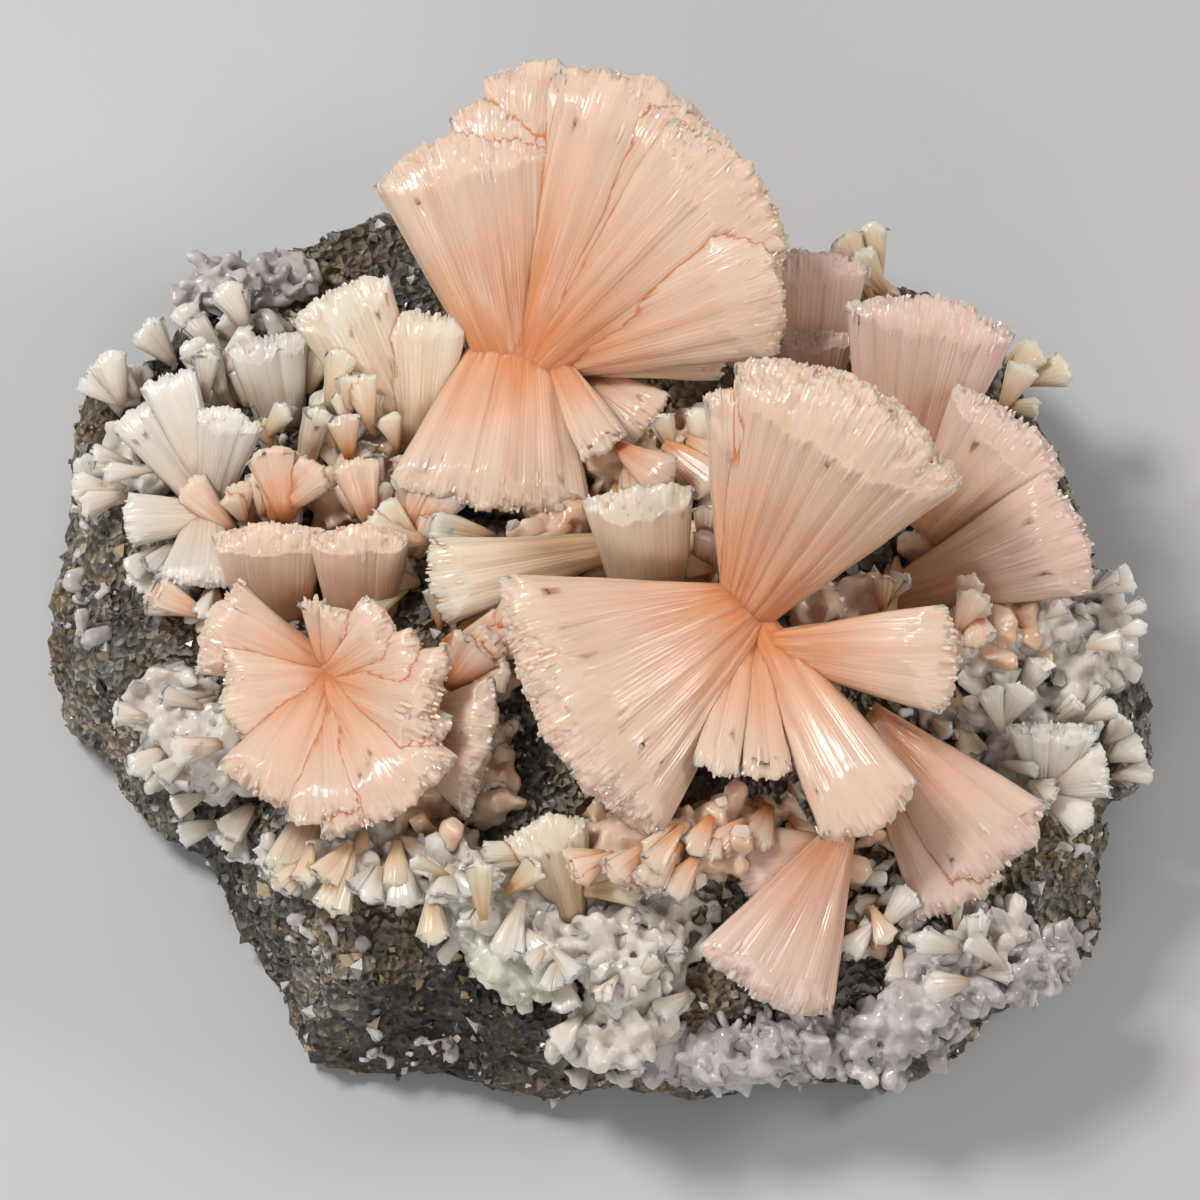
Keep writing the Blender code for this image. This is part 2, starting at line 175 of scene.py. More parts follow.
# ---------------------------------------------------------------- lumps of small crystals: x, y, height above rock, half widths along x, y, z
LUMPS = {
    "rounded_lump": [(370, 416, 2, 52, 30, 34)],
    "pale_lumps": [(484, 896, 1, 46, 42, 34), (528, 950, 0, 50, 52, 36)],
    "rosette_foot_lumps": [(362, 858, 0, 56, 32, 28), (440, 866, 0, 52, 32, 28)],
    "left_druse": [(180, 716, 0, 46, 42, 26), (222, 758, 0, 42, 38, 28)],
    "top_left_crust": [(222, 292, 0, 40, 22, 20), (280, 278, 0, 36, 20, 20)],
    "front_druse": [(622, 955, 0, 50, 44, 26), (612, 1022, -3, 46, 46, 26)],
    "front_rim_druse": [(702, 1052, -7, 58, 28, 40), (790, 1044, -6, 58, 28, 40), (872, 1034, -5, 46, 30, 36)],
    "right_front_druse": [(935, 985, -1, 50, 44, 28), (1018, 960, -2, 54, 36, 30)],
    "right_druse": [(1044, 624, 1, 46, 40, 32), (1084, 642, 0, 46, 50, 28)],
    "bead_cluster": [(650, 842, 1, 50, 34, 28), (726, 842, 1, 44, 30, 26)],
    "middle_druse": [(966, 642, 2, 48, 32, 28)],
}


# ---------------------------------------------------------------- mesh heaps
HEX_X = np.array([1, 0.55, -0.55, -1, -0.55, 0.55])
HEX_Y = np.array([0, 1, 1, 0, -1, -1.0])
PRISM = []
for i in range(6):
    j = (i + 1) % 6
    PRISM += [(i, j, 6 + j), (i, 6 + j, 6 + i)]
PRISM += [(0, 5, 4), (0, 4, 3), (0, 3, 2), (0, 2, 1)]
PRISM += [(6, 7, 12), (7, 8, 13), (7, 13, 12), (8, 9, 13), (9, 10, 13), (10, 11, 12), (10, 12, 13), (11, 6, 12)]
PRISM = np.array(PRISM)


def lattice(x, y, z):
    """Smooth noise between -1 and 1, for arrays."""
    x, y, z = np.broadcast_arrays(np.asarray(x, float), np.asarray(y, float), np.asarray(z, float))
    out = np.zeros(x.shape)
    ix, iy, iz = np.floor(x).astype(np.int64), np.floor(y).astype(np.int64), np.floor(z).astype(np.int64)
    fx, fy, fz = x - ix, y - iy, z - iz
    wx, wy, wz = (f * f * (3 - 2 * f) for f in (fx, fy, fz))
    for a in (0, 1):
        for b in (0, 1):
            for c in (0, 1):
                h = ((ix + a) * 73856093) ^ ((iy + b) * 19349663) ^ ((iz + c) * 83492791)
                h = (h ^ (h >> 13)) * 1274126177
                h = (h ^ (h >> 16)) & 0xFFFF
                out += (h / 32767.5 - 1) * (wx if a else 1 - wx) * (wy if b else 1 - wy) * (wz if c else 1 - wz)
    return out


def layers(x, y, z, count=2):
    return sum(lattice(x * 2 ** k, y * 2 ** k, z * 2 ** k + 17 * k) * 0.5 ** k for k in range(count)) / (2 - 0.5 ** (count - 1))


class Heap:
    """Triangles of one piece, with what its material reads: grain (millimetres along and across the fibres) and info (place along, chance, tip)."""

    def __init__(self):
        self.v, self.t, self.g, self.i, self.m, self.s, self.k, self.n = [], [], [], [], [], [], [], 0

    def add(self, v, t, grain, info, slot=0, smooth=False, tone=None):
        self.k.append(np.zeros((len(np.asarray(v).reshape(-1, 3)), 3)) if tone is None else np.asarray(tone, float).reshape(-1, 3))
        self.v.append(np.asarray(v, float).reshape(-1, 3))
        self.t.append(np.asarray(t).reshape(-1, 3) + self.n)
        self.g.append(np.asarray(grain, float).reshape(-1, 3))
        self.i.append(np.asarray(info, float).reshape(-1, 3))
        self.m.append(np.full(len(self.t[-1]), slot))
        self.s.append(np.broadcast_to(np.asarray(smooth, bool), (len(self.t[-1]),)))
        self.n += len(self.v[-1])

    def tris(self):
        return sum(len(t) for t in self.t)

    def mesh(self, name, materials):
        V, T = np.concatenate(self.v), np.concatenate(self.t)
        mesh = bpy.data.meshes.new(name)
        mesh.from_pydata((V - np.array(MIDDLE)).tolist(), [], T.tolist())
        mesh.polygons.foreach_set("material_index", np.concatenate(self.m).astype(np.int32))
        mesh.polygons.foreach_set("use_smooth", np.concatenate(self.s))
        for m in materials:
            mesh.materials.append(m)
        bm = bmesh.new()
        bm.from_mesh(mesh)
        bmesh.ops.recalc_face_normals(bm, faces=bm.faces)
        if bm.calc_volume(signed=True) < 0:
            bmesh.ops.reverse_faces(bm, faces=bm.faces)
        bm.to_mesh(mesh)
        bm.free()
        for label, data in (("grain", self.g), ("info", self.i), ("tone", self.k)):
            a = mesh.attributes.new(label, "FLOAT_VECTOR", "POINT")
            a.data.foreach_set("vector", np.concatenate(data).astype(np.float32).ravel())
        mesh.update()
        ob = bpy.data.objects.new(name, mesh)
        bpy.context.scene.collection.objects.link(ob)
        return ob

    def build(self, name, materials, node=None, slot="peach_stilbite"):
        ob = self.mesh(name, materials)
        settle(ob, node, slot)
        print("PIECE", name, len(ob.data.polygons))
        return ob


def thin(heap, every):
    """The same blades without each one whose number divides by every."""
    blocks = [np.concatenate(x).reshape(-1, 14, 3) for x in (heap.v, heap.g, heap.i, heap.k)]
    keep = np.arange(len(blocks[0])) % every != 0
    v, g, i, k = (b[keep] for b in blocks)
    out = Heap()
    out.add(v, PRISM[None] + (np.arange(len(v)) * 14)[:, None, None], g, i, tone=k)
    return out


def unite(obs):
    """One closed surface from overlapping ones."""
    first = obs[0]
    if len(obs) == 1:
        return first
    group = bpy.data.collections.new("lobes")
    for other in obs[1:]:
        group.objects.link(other)
    m = first.modifiers.new("b", "BOOLEAN")
    m.operation, m.solver, m.operand_type, m.collection = "UNION", "MANIFOLD", "COLLECTION", group
    mesh = bpy.data.meshes.new_from_object(first.evaluated_get(bpy.context.evaluated_depsgraph_get()))
    first.modifiers.clear()
    whole = sum(len(ob.data.polygons) for ob in obs)
    if len(mesh.polygons) > 0.4 * whole:
        first.data = mesh
    else:
        print("UNION failed", first.name, len(mesh.polygons), whole)
        bpy.data.collections.remove(group)
        return join(obs)
    bpy.data.collections.remove(group)
    for other in obs[1:]:
        bpy.data.objects.remove(other)
    return first


def join(obs):
    """Several objects as one, by copying their meshes."""
    first = obs[0]
    bm = bmesh.new()
    for ob in obs:
        bm.from_mesh(ob.data)
    bm.to_mesh(first.data)
    bm.free()
    for other in obs[1:]:
        bpy.data.objects.remove(other)
    return first


def settle(ob, node, slot):
    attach(ob, "root")
    if node:
        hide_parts(*([node] if isinstance(node, str) else node))


def unit(a):
    return a / np.maximum(np.linalg.norm(a, axis=-1, keepdims=True), 1e-12)


# ---------------------------------------------------------------- fans
class Fan:
    def __init__(self, row, seed, ident):
        wx, wy, wh, tx, ty, th, w0, w1, t0, t1, roll, dome = row
        waist, tip = above(wx, wy, wh), above(tx, ty, th)
        self.w0, self.w1, self.t0, self.t1 = (v * UNIT for v in (w0, w1, t0, t1))
        axis = tip - waist
        self.length = axis.length
        axis.normalize()
        side = axis.cross(BACK).normalized()
        thick = side.cross(axis).normalized()
        self.axis, self.side, self.thick, self.waist = (np.array(v) for v in (axis, side, thick, waist))
        self.au = math.asin(min(0.95, (self.w1 - self.w0) / self.length))
        self.av = math.asin(min(0.95, (self.t1 - self.t0) / self.length))
        self.dome = dome
        self.belly = 0.30 + 0.25 * self.t1 / self.w1
        self.rng = np.random.default_rng(seed)
        self.ident = ident

    def at(self, u, v, rho, swell=0.0):
        u, v, rho = np.broadcast_arrays(u, v, rho)
        cu, cv = np.cos(self.au * u)[..., None], np.cos(self.av * v)[..., None]
        su, sv = np.sin(self.au * u)[..., None], np.sin(self.av * v)[..., None]
        d = unit(self.axis * cu * cv + self.side * su + self.thick * sv)
        reach = self.length * (1 - self.dome * u * u - self.belly * v * v)
        start = self.waist + self.side * (self.w0 * u)[..., None] + self.thick * (self.t0 * v)[..., None]
        return start + d * (reach * rho)[..., None]

    def grain(self, u, v, rho):
        u, v, rho = np.broadcast_arrays(u, v, rho)
        return np.stack([u * self.w1 * 1000, v * self.t1 * 1000, rho * self.length * 1000 + 40 * self.ident], -1)

    def rim(self, a):
        c, s = np.cos(a), np.sin(a)
        return np.sign(c) * np.abs(c) ** 0.84, np.sign(s) * np.abs(s) ** 0.84

    def skin(self, heap, pitch=0.5, relief=1.0, jag=1.0, facet=0.25, small=False):
        """One closed striated surface: strips of lamellae that run up the front, over the domed end and down the back."""
        rng = self.rng
        w1, t1, L = self.w1 * 1000, self.t1 * 1000, self.length * 1000
        fine = np.linspace(0.012, np.pi - 0.012, 3000)
        fu, fv = self.rim(fine)
        run = np.concatenate([[0], np.cumsum(np.hypot(np.diff(fu) * w1, np.diff(fv) * t1))])
        edges = np.cumsum(rng.uniform(0.5, 1.6, int(run[-1] / pitch * 1.4) + 8) * pitch)
        edges = np.concatenate([[0.0], edges[edges < run[-1] - 0.4 * pitch], [run[-1]]])
        nl = len(edges) - 1
        wide = np.diff(edges)
        cols = np.stack([edges[:-1], edges[:-1] + 0.22 * wide, edges[:-1] + 0.78 * wide], 1).ravel()
        cols = np.append(cols, run[-1])
        K = len(cols)
        groove = np.arange(K) % 3 == 0
        lam = np.minimum(np.arange(K) // 3, nl - 1)
        prev = np.maximum(lam - 1, 0)
        a = np.interp(cols, run, fine)
        u0, v0 = self.rim(a)
        # bundles of lamellae
        size = rng.integers(4, 11, nl)
        cut = np.cumsum(size)
        which = np.searchsorted(cut, np.arange(nl), side="right")
        first = np.concatenate([[0], cut])[which]
        pos = (np.arange(nl) - first + 0.5) / size[which]
        bundle = rng.uniform(-0.17, 0.14, nl)[which] + 0.24 * np.sin(np.pi * pos)
        deep = np.where(np.arange(nl) == first, 2.4, 1.0) * rng.uniform(0.01, 0.05, nl)
        own = rng.uniform(-0.025, 0.03, nl)
        # front and back
        rs = np.array([-0.10, 0.20, 0.55, 0.86, 0.96] if small else [-0.16, -0.04, 0.05, 0.14, 0.24, 0.35, 0.47, 0.59, 0.71, 0.81, 0.88, 0.93, 0.96])
        R = len(rs)

        def steps(rows, chance, low, high):
            value = rng.uniform(low, high, (rows, nl))
            keep = rng.random((rows, nl)) > chance
            for r in range(1, rows):
                value[r] = np.where(keep[r], value[r - 1], value[r])
            return value

        def spread(h, depth):
            out = h[:, lam]
            both = np.minimum(h[:, lam], h[:, prev]) - depth[:, lam]
            return np.where(groove[None], both, out)

        def side(sign):
            rho = rs[:, None] + rng.uniform(-0.02, 0.02, (R, nl))[:, lam] * ((rs > 0.02) & (rs < 0.97))[:, None]
            grow = 0.30 + 0.70 * np.clip(rho, 0, 1)
            wave = lattice(cols[None] * 0.22, rs[:, None] * L * 0.12, 9.3 + sign + 7 * self.ident)
            wave = 0.8 * wave + 0.35 * lattice(cols[None] * 0.6, rs[:, None] * L * 0.2, 3.3 + sign + 7 * self.ident)
            h = bundle[None] + own[None] + steps(R, 0.14, -0.03, 0.03)
            depth = np.broadcast_to(deep[None], h.shape) * rng.uniform(0.7, 1.3, h.shape)
            h = (spread(h, depth) + 0.55 * wave) * grow * relief / 1000 - 0.00025
            nu, nv = np.sign(u0) * np.abs(u0) ** 1.38 / self.w1, sign * np.abs(v0) ** 1.38 / self.t1
            nn = np.hypot(nu, nv)
            wr = self.w0 + (self.w1 - self.w0) * np.clip(rho, 0, 1)
            tr = self.t0 + (self.t1 - self.t0) * np.clip(rho, 0, 1)
            late = np.clip((rho - 0.34) / 0.66, 0, 1) ** 2
            round_off = 1 - 0.34 * late
            u = u0[None] * (1 - 0.02 * late) + (nu / nn)[None] * h / wr
            v = sign * v0[None] * round_off + (nv / nn)[None] * h / tr
            return u, v, rho, h * 1000 / relief

        uf, vf, rf, hf = side(1.0)
        ub, vb, rb, hb = side(-1.0)
        # domed end
        M = int(np.clip(2 * t1 / (0.6 if small else 0.42), 6, 46))
        t = np.cos(np.linspace(0, np.pi, M)) * 0.5 + np.linspace(1, -1, M) * 0.5
        tt = t[:, None] + (rng.uniform(-0.4, 0.4, (M, nl)) * np.gradient(t)[:, None])[:, lam] * (np.abs(t) < 0.999)[:, None]
        gap = 2 * t1 / M
        x, y = u0[None] * w1, t[:, None] * t1
        low = 0.6 * lattice(x * 0.30, y * 0.24, 1.0 + 7 * self.ident)
        mid = 0.6 * lattice(x * 0.9, y * 0.7, 5.0 + 7 * self.ident)
        top = (0.35 + 0.85 * (1 - np.abs(t) ** 1.5))[:, None]
        bit = steps(M, min(0.9, gap / 0.7), -0.20, 0.20)
        bit = bit + (rng.random(bit.shape) < 0.07) * rng.uniform(0.05, 0.35, bit.shape)
        h = own[None] + (rng.uniform(-0.08, 0.09, nl)[None] + bit) * top + bundle[None] * 0.6
        depth = np.full(h.shape, 0.03) * rng.uniform(0.2, 1.6, h.shape)
        tiny = 0.6 * lattice(x * 2.1, y * 1.7, 8.0 + 7 * self.ident)
        h = (spread(h, depth) + 0.85 * low + (0.50 * mid + 0.22 * tiny) * top - 0.1) * jag * (1 - np.abs(t) ** 6)[:, None]
        wf, wb = np.clip(t, 0, 1)[:, None] ** 4, np.clip(-t, 0, 1)[:, None] ** 4
        u_in, v_in = u0 * 0.98, v0 * 0.66
        uc = u_in[None] + (uf[-1] - u_in)[None] * wf + (ub[-1] - u_in)[None] * wb
        vc = tt * v_in[None] + (vf[-1] - v_in)[None] * wf + (vb[-1] + v_in)[None] * wb
        rc = 1 + h / L
        u, v, rho = np.concatenate([uf, uc, ub[::-1]]), np.concatenate([vf, vc, vb[::-1]]), np.concatenate([rf, rc, rb[::-1]])
        depth_all = np.concatenate([hf, h * 0.5, hb[::-1]])
        P = self.at(u, v, rho)
        N = len(u)
        step = np.linalg.norm(np.diff(P, axis=0), axis=-1).mean(1) * 1000
        path = np.concatenate([[0], np.cumsum(step)])
        cap = np.concatenate([np.zeros(R), 1 - np.abs(t) ** 2, np.zeros(R)])
        own_id = rng.uniform(0, 2.2, nl)
        G = np.stack([np.broadcast_to(cols[None] + 60 * self.ident, u.shape), np.broadcast_to(own_id[lam][None], u.shape),
                      np.broadcast_to(path[:, None], u.shape)], -1)
        far = np.linalg.norm(P - self.waist, axis=-1) / self.length
        # info y is the surface height, from which the material paints shade into the grooves
        I = np.stack([np.clip(far, 0, 1.05), np.clip(0.5 + depth_all * 1.3, 0, 1), np.broadcast_to(cap[:, None], u.shape)], -1)
        gx, gz = G[..., 0], G[..., 2]
        streak = layers(gx * 1.25, gz * 0.05, 3.0 + G[..., 1] * 0.3)
        broad = layers(gx * 0.42, gz * 0.045, 11.0)
        clouds = layers(gx * 0.17, gz * 0.16, 23.0)
        K3 = np.stack([streak, broad, clouds], -1)
        idx = np.arange(N * K).reshape(N, K)
        A, B, C, D = idx[:-1, :-1], idx[:-1, 1:], idx[1:, 1:], idx[1:, :-1]
        flip = rng.random(A.shape) < 0.5
        q1 = np.where(flip[..., None], np.stack([A, B, C], -1), np.stack([A, B, D], -1))
        q2 = np.where(flip[..., None], np.stack([A, C, D], -1), np.stack([B, C, D], -1))
        T = [q1.reshape(-1, 3), q2.reshape(-1, 3)]
        # the waist end, and the two narrow sides
        f, b = idx[0], idx[-1]
        T += [np.stack([f[:-1], b[:-1], b[1:]], 1), np.stack([f[:-1], b[1:], f[1:]], 1)]
        for k, turn in ((0, 1), (K - 1, -1)):
            f, b = idx[:R, k], idx[N - R:, k][::-1]
            w = [np.stack([f[:-1], f[1:], b[1:]], 1), np.stack([f[:-1], b[1:], b[:-1]], 1)]
            ring = idx[R - 1:N - R + 1, k]
            w.append(np.stack([np.full(len(ring) - 2, ring[0]), ring[1:-1], ring[2:]], 1))
            T += [x[:, ::turn] for x in w]
        T = np.concatenate(T)
        where = np.broadcast_to(cap[:-1, None], A.shape).ravel()
        flat = np.zeros(len(T), bool)
        flat[:2 * len(where)] = rng.random(2 * len(where)) < np.tile(where, 2) * facet
        heap.add(P, T, G, I, smooth=~flat, tone=K3)

    def _blades(self, heap, u, v, du, dv, turn, r0, r1, tip, chance, slot=0, lean=None):
        """Hexagonal blades round radial lines. du, dv are half sizes in metres at the tip, tip the pointed length in metres."""
        n = len(u)
        cx, cy = HEX_X[None] * du[:, None], HEX_Y[None] * dv[:, None]
        ct, st = np.cos(turn)[:, None], np.sin(turn)[:, None]
        ox, oy = cx * ct - cy * st, cx * st + cy * ct
        U = u[:, None] + ox / self.w1
        Vv = v[:, None] + oy / self.t1
        sh = r1 - tip / self.length
        rx = np.stack([0.42 * du, -0.42 * du], 1)
        RX, RY = rx * ct, rx * st
        off = np.zeros((n, 2)) if lean is None else lean
        uu = np.concatenate([U, U, u[:, None] + (RX + off[:, :1]) / self.w1], 1)
        vv = np.concatenate([Vv, Vv, v[:, None] + (RY + off[:, 1:]) / self.t1], 1)
        skew = self.rng.uniform(-0.3, 0.3, (n, 2)) * (tip / self.length)[:, None]
        rr = np.concatenate([np.repeat(r0[:, None], 6, 1), np.repeat(sh[:, None], 6, 1), r1[:, None] + skew], 1)
        P = self.at(uu, vv, rr)
        G = self.grain(uu, vv, rr)
        I = np.stack([rr, np.repeat(chance[:, None], 14, 1), np.concatenate([np.zeros((n, 12)), np.ones((n, 2))], 1)], -1)
        T = PRISM[None] + (np.arange(n) * 14)[:, None, None]
        heap.add(P, T, G, I, slot)

    def tips(self, heap, per_mm2=0.5, bw=0.5, bt=0.34, out=0.22, slot=0):
        """Small separate crystal ends that stand a little out of the domed end, most of them near its rim."""
        rng = self.rng
        area = 3.3 * self.w1 * self.t1 * 1e6
        n = max(6, int(area * per_mm2 * 2.2))
        u, v = rng.uniform(-1, 1, n), rng.uniform(-1, 1, n)
        v = v * 0.68
        reach = np.abs(u) ** 2.38 + np.abs(v / 0.66) ** 2.38
        ok = (reach < 0.95) & (rng.random(n) < np.maximum(1 - np.abs(v) ** 1.3 * 0.8, np.abs(u) ** 4))
        u, v = u[ok], v[ok]
        n = len(u)
        size = rng.uniform(0.45, 1.4, n)
        du, dv = bw * 0.5 * size / 1000, bt * 0.5 * size * rng.uniform(0.7, 1.3, n) / 1000
        r1 = 1 + rng.uniform(0.0, out, n) * size / 1000 / self.length
        tip = rng.uniform(0.25, 0.6, n) * size / 1000
        lean = np.stack([rng.normal(0, 0.3, n) * du, rng.normal(0, 0.3, n) * dv], 1)
        self._blades(heap, u, v, du, dv, rng.normal(0, 0.5, n), 1 - rng.uniform(0.6, 1.2, n) / 1000 / self.length, r1, tip, rng.random(n), slot, lean)
        return n

    def comb(self, heap, n, low=0.70, high=1.0, bw=0.62, bt=0.30, front=0.8, slot=0, lift=0.0):
        """Single blades lying in the fan's side, their ends showing near the rim."""
        rng = self.rng
        a = rng.uniform(0.05, np.pi - 0.05, n) * np.where(rng.random(n) < front, 1, -1)
        u, v = self.rim(a)
        k = rng.uniform(0.965, 1.0, n) + lift
        ta = np.arctan2(np.abs(np.sin(a)) * self.t1, np.abs(np.cos(a)) * self.w1)
        tx, ty = -np.sin(a) * self.w1, np.cos(a) * self.t1
        turn = np.arctan2(ty, tx) + rng.normal(0, 0.12, n)
        r1 = rng.uniform(0.55 + 0.35 * high, high + 0.012, n)
        r0 = np.maximum(0.04, r1 - rng.uniform(0.6, 1.4, n) * (high - low))
        du, dv = rng.uniform(0.3, 0.7, n) / 1000 * bw, rng.uniform(0.35, 0.7, n) / 1000 * bt
        tip = rng.uniform(0.4, 1.3, n) / 1000 * bw / 0.6
        self._blades(heap, u * k, v * k, du, dv, turn, r0, r1, tip, rng.random(n), slot)
        return n


# ---------------------------------------------------------------- single crystals
def crystals(heap, base, axis, length, half_w, half_t, roll, chance, slot=0, taper=0.85, tip=0.30, ident=0.0, rng=None, ridge=0.4):
    """Free blades: base points, axes, lengths, half widths, half thicknesses."""
    base, axis = np.asarray(base, float), unit(np.asarray(axis, float))
    n = len(base)
    ref = np.where(np.abs(axis[:, 2:3]) < 0.9, np.array([[0, 0, 1.0]]), np.array([[1.0, 0, 0]]))
    X = unit(np.cross(axis, ref))
    Y = np.cross(axis, X)
    ct, st = np.cos(roll)[:, None], np.sin(roll)[:, None]
    X, Y = X * ct + Y * st, Y * ct - X * st
    cx = HEX_X[None] * half_w[:, None]
    cy = HEX_Y[None] * half_t[:, None]
    low = base[:, None] + X[:, None] * (cx * taper)[..., None] + Y[:, None] * (cy * taper)[..., None]
    sh = length * (1 - tip)
    mid = base[:, None] + X[:, None] * cx[..., None] + Y[:, None] * cy[..., None] + axis[:, None] * sh[:, None, None]
    rx = np.stack([ridge * half_w, -ridge * half_w], 1)
    if rng is None:
        sk = np.zeros((n, 2))
    else:
        sk = rng.uniform(-0.12, 0.12, (n, 2)) * length[:, None]
    top = base[:, None] + X[:, None] * rx[..., None] + axis[:, None] * (length[:, None] + sk)[..., None]
    P = np.concatenate([low, mid, top], 1)
    gx = np.concatenate([cx, cx, rx], 1) * 1000
    gy = np.concatenate([cy, cy, rx * 0], 1) * 1000
    gz = np.concatenate([np.zeros((n, 6)), np.repeat(sh[:, None], 6, 1), length[:, None] + sk], 1) * 1000
    seedy = (np.arange(n) * 3.7 + ident)[:, None]
    G = np.stack([gx + seedy, gy, gz], -1)
    rho = np.concatenate([np.full((n, 6), 0.25), np.full((n, 6), 0.8), np.full((n, 2), 1.0)], 1)
    I = np.stack([rho, np.repeat(np.asarray(chance)[:, None], 14, 1), np.concatenate([np.zeros((n, 12)), np.ones((n, 2))], 1)], -1)
    T = PRISM[None] + (np.arange(n) * 14)[:, None, None]
    heap.add(P, T, G, I, slot)

# ---------------------------------------------------------------- materials
def node(nt, kind, at=(0, 0), **values):
    n = nt.nodes.new(kind)
    n.location = at
    for k, v in values.items():
        setattr(n, k, v)
    return n


def ramp(nt, fac, stops):
    r = node(nt, "ShaderNodeValToRGB")
    e = r.color_ramp.elements
    while len(e) > 1:
        e.remove(e[-1])
    e[0].position, e[0].color = stops[0][0], (*stops[0][1], 1)
    for p, c in stops[1:]:
        x = e.new(p)
        x.color = (*c, 1)
    nt.links.new(fac, r.inputs[0])
    return r.outputs[0]


def math_node(nt, op, a, b=None, c=None, clamp=False):
    m = node(nt, "ShaderNodeMath", operation=op, use_clamp=clamp)
    for i, x in enumerate((a, b, c)):
        if x is None:
            continue
        if isinstance(x, (int, float)):
            m.inputs[i].default_value = x
        else:
            nt.links.new(x, m.inputs[i])
    return m.outputs[0]


def mix_colour(nt, fac, a, b, how="MIX"):
    m = node(nt, "ShaderNodeMix", data_type="RGBA", blend_type=how)
    for sock, x in ((m.inputs[0], fac), (m.inputs[6], a), (m.inputs[7], b)):
        if isinstance(x, (int, float)):
            sock.default_value = x
        elif isinstance(x, tuple):
            sock.default_value = (*x, 1)
        else:
            nt.links.new(x, sock)
    return m.outputs[2]


def noise_at(nt, vector, scale, across, along, detail=2.0, rough=0.55):
    """Noise stretched along the fibres."""
    v = node(nt, "ShaderNodeVectorMath", operation="MULTIPLY")
    nt.links.new(vector, v.inputs[0])
    v.inputs[1].default_value = (across * scale, across * scale, along * scale)
    t = node(nt, "ShaderNodeTexNoise")
    t.inputs["Scale"].default_value = 1.0
    t.inputs["Detail"].default_value = detail
    t.inputs["Roughness"].default_value = rough
    nt.links.new(v.outputs[0], t.inputs["Vector"])
    return t.outputs["Fac"]


def crystal(name, stops, deep, cloud, glow=(0.9, 0.5, 0.3), sss=0.9, scale=0.0020, transmission=0.0, rough=0.17, coat=0.0, bump=0.4, groove_shade_strength=0.07):
    """Striated crystal. Of info, x runs from waist to rim, y is the height of the surface (0 groove, 1 crest), z marks
    the domed end. The deep colour is painted shade, mixed into the grooves.
    """
    m = bpy.data.materials.new(name)
    m.use_nodes = True
    nt = m.node_tree
    b = nt.nodes["Principled BSDF"]
    g = node(nt, "ShaderNodeAttribute", attribute_name="grain").outputs["Vector"]
    info = node(nt, "ShaderNodeSeparateXYZ")
    nt.links.new(node(nt, "ShaderNodeAttribute", attribute_name="info").outputs["Vector"], info.inputs[0])
    along, height, end = info.outputs[0], info.outputs[1], info.outputs[2]
    tone = node(nt, "ShaderNodeSeparateXYZ")
    nt.links.new(node(nt, "ShaderNodeAttribute", attribute_name="tone").outputs["Vector"], tone.inputs[0])
    streak, broad, clouds = tone.outputs[0], tone.outputs[1], tone.outputs[2]
    fine = noise_at(nt, g, 1.0, 4.6, 0.13, 1.0)
    place = math_node(nt, "MULTIPLY_ADD", streak, 0.10, along)
    place = math_node(nt, "MULTIPLY_ADD", broad, 0.13, place)
    place = math_node(nt, "MULTIPLY_ADD", clouds, 0.13, place, clamp=True)
    colour = ramp(nt, place, stops)
    # painted shade: grooves mixed towards the deep colour, most of all near the waist, for the shade in the creases
    groove_shade = math_node(nt, "SUBTRACT", 0.60, height, clamp=True)
    groove_shade = math_node(nt, "MULTIPLY", groove_shade, 1.6, clamp=True)
    near = math_node(nt, "MULTIPLY_ADD", along, -1.3, 0.85, clamp=True)
    colour = mix_colour(nt, math_node(nt, "MULTIPLY", groove_shade, near), colour, deep)
    # pale veils on the crests
    veil = math_node(nt, "SUBTRACT", fine, 0.50)
    veil = math_node(nt, "MULTIPLY", veil, 4.0, clamp=True)
    much = math_node(nt, "MULTIPLY_ADD", clouds, 0.45, 0.22, clamp=True)
    colour = mix_colour(nt, math_node(nt, "MULTIPLY", veil, much), colour, cloud)
    # random streak tone, and painted shade: grooves darker and crests lighter by surface height
    streak_tone_and_shade = math_node(nt, "MULTIPLY_ADD", streak, 0.05, 1.0)
    streak_tone_and_shade = math_node(nt, "MULTIPLY_ADD", math_node(nt, "SUBTRACT", height, 0.5), groove_shade_strength, streak_tone_and_shade)
    bright = node(nt, "ShaderNodeVectorMath", operation="SCALE")
    nt.links.new(colour, bright.inputs[0])
    nt.links.new(streak_tone_and_shade, bright.inputs["Scale"])
    nt.links.new(bright.outputs[0], b.inputs["Base Color"])
    b.subsurface_method = "RANDOM_WALK"
    b.inputs["Subsurface Weight"].default_value = sss
    b.inputs["Subsurface Radius"].default_value = glow
    b.inputs["Subsurface Scale"].default_value = scale
    b.inputs["IOR"].default_value = 1.50
    b.inputs["Transmission Weight"].default_value = transmission
    b.inputs["Coat Weight"].default_value = coat
    b.inputs["Coat Roughness"].default_value = 0.14
    b.inputs["Coat IOR"].default_value = 1.5
    r = math_node(nt, "MULTIPLY_ADD", fine, 0.26, rough - 0.13)
    nt.links.new(r, b.inputs["Roughness"])
    bp = node(nt, "ShaderNodeBump")
    bp.inputs["Strength"].default_value = bump
    bp.inputs["Distance"].default_value = 0.00010
    nt.links.new(fine, bp.inputs["Height"])
    nt.links.new(bp.outputs[0], b.inputs["Normal"])
    return m


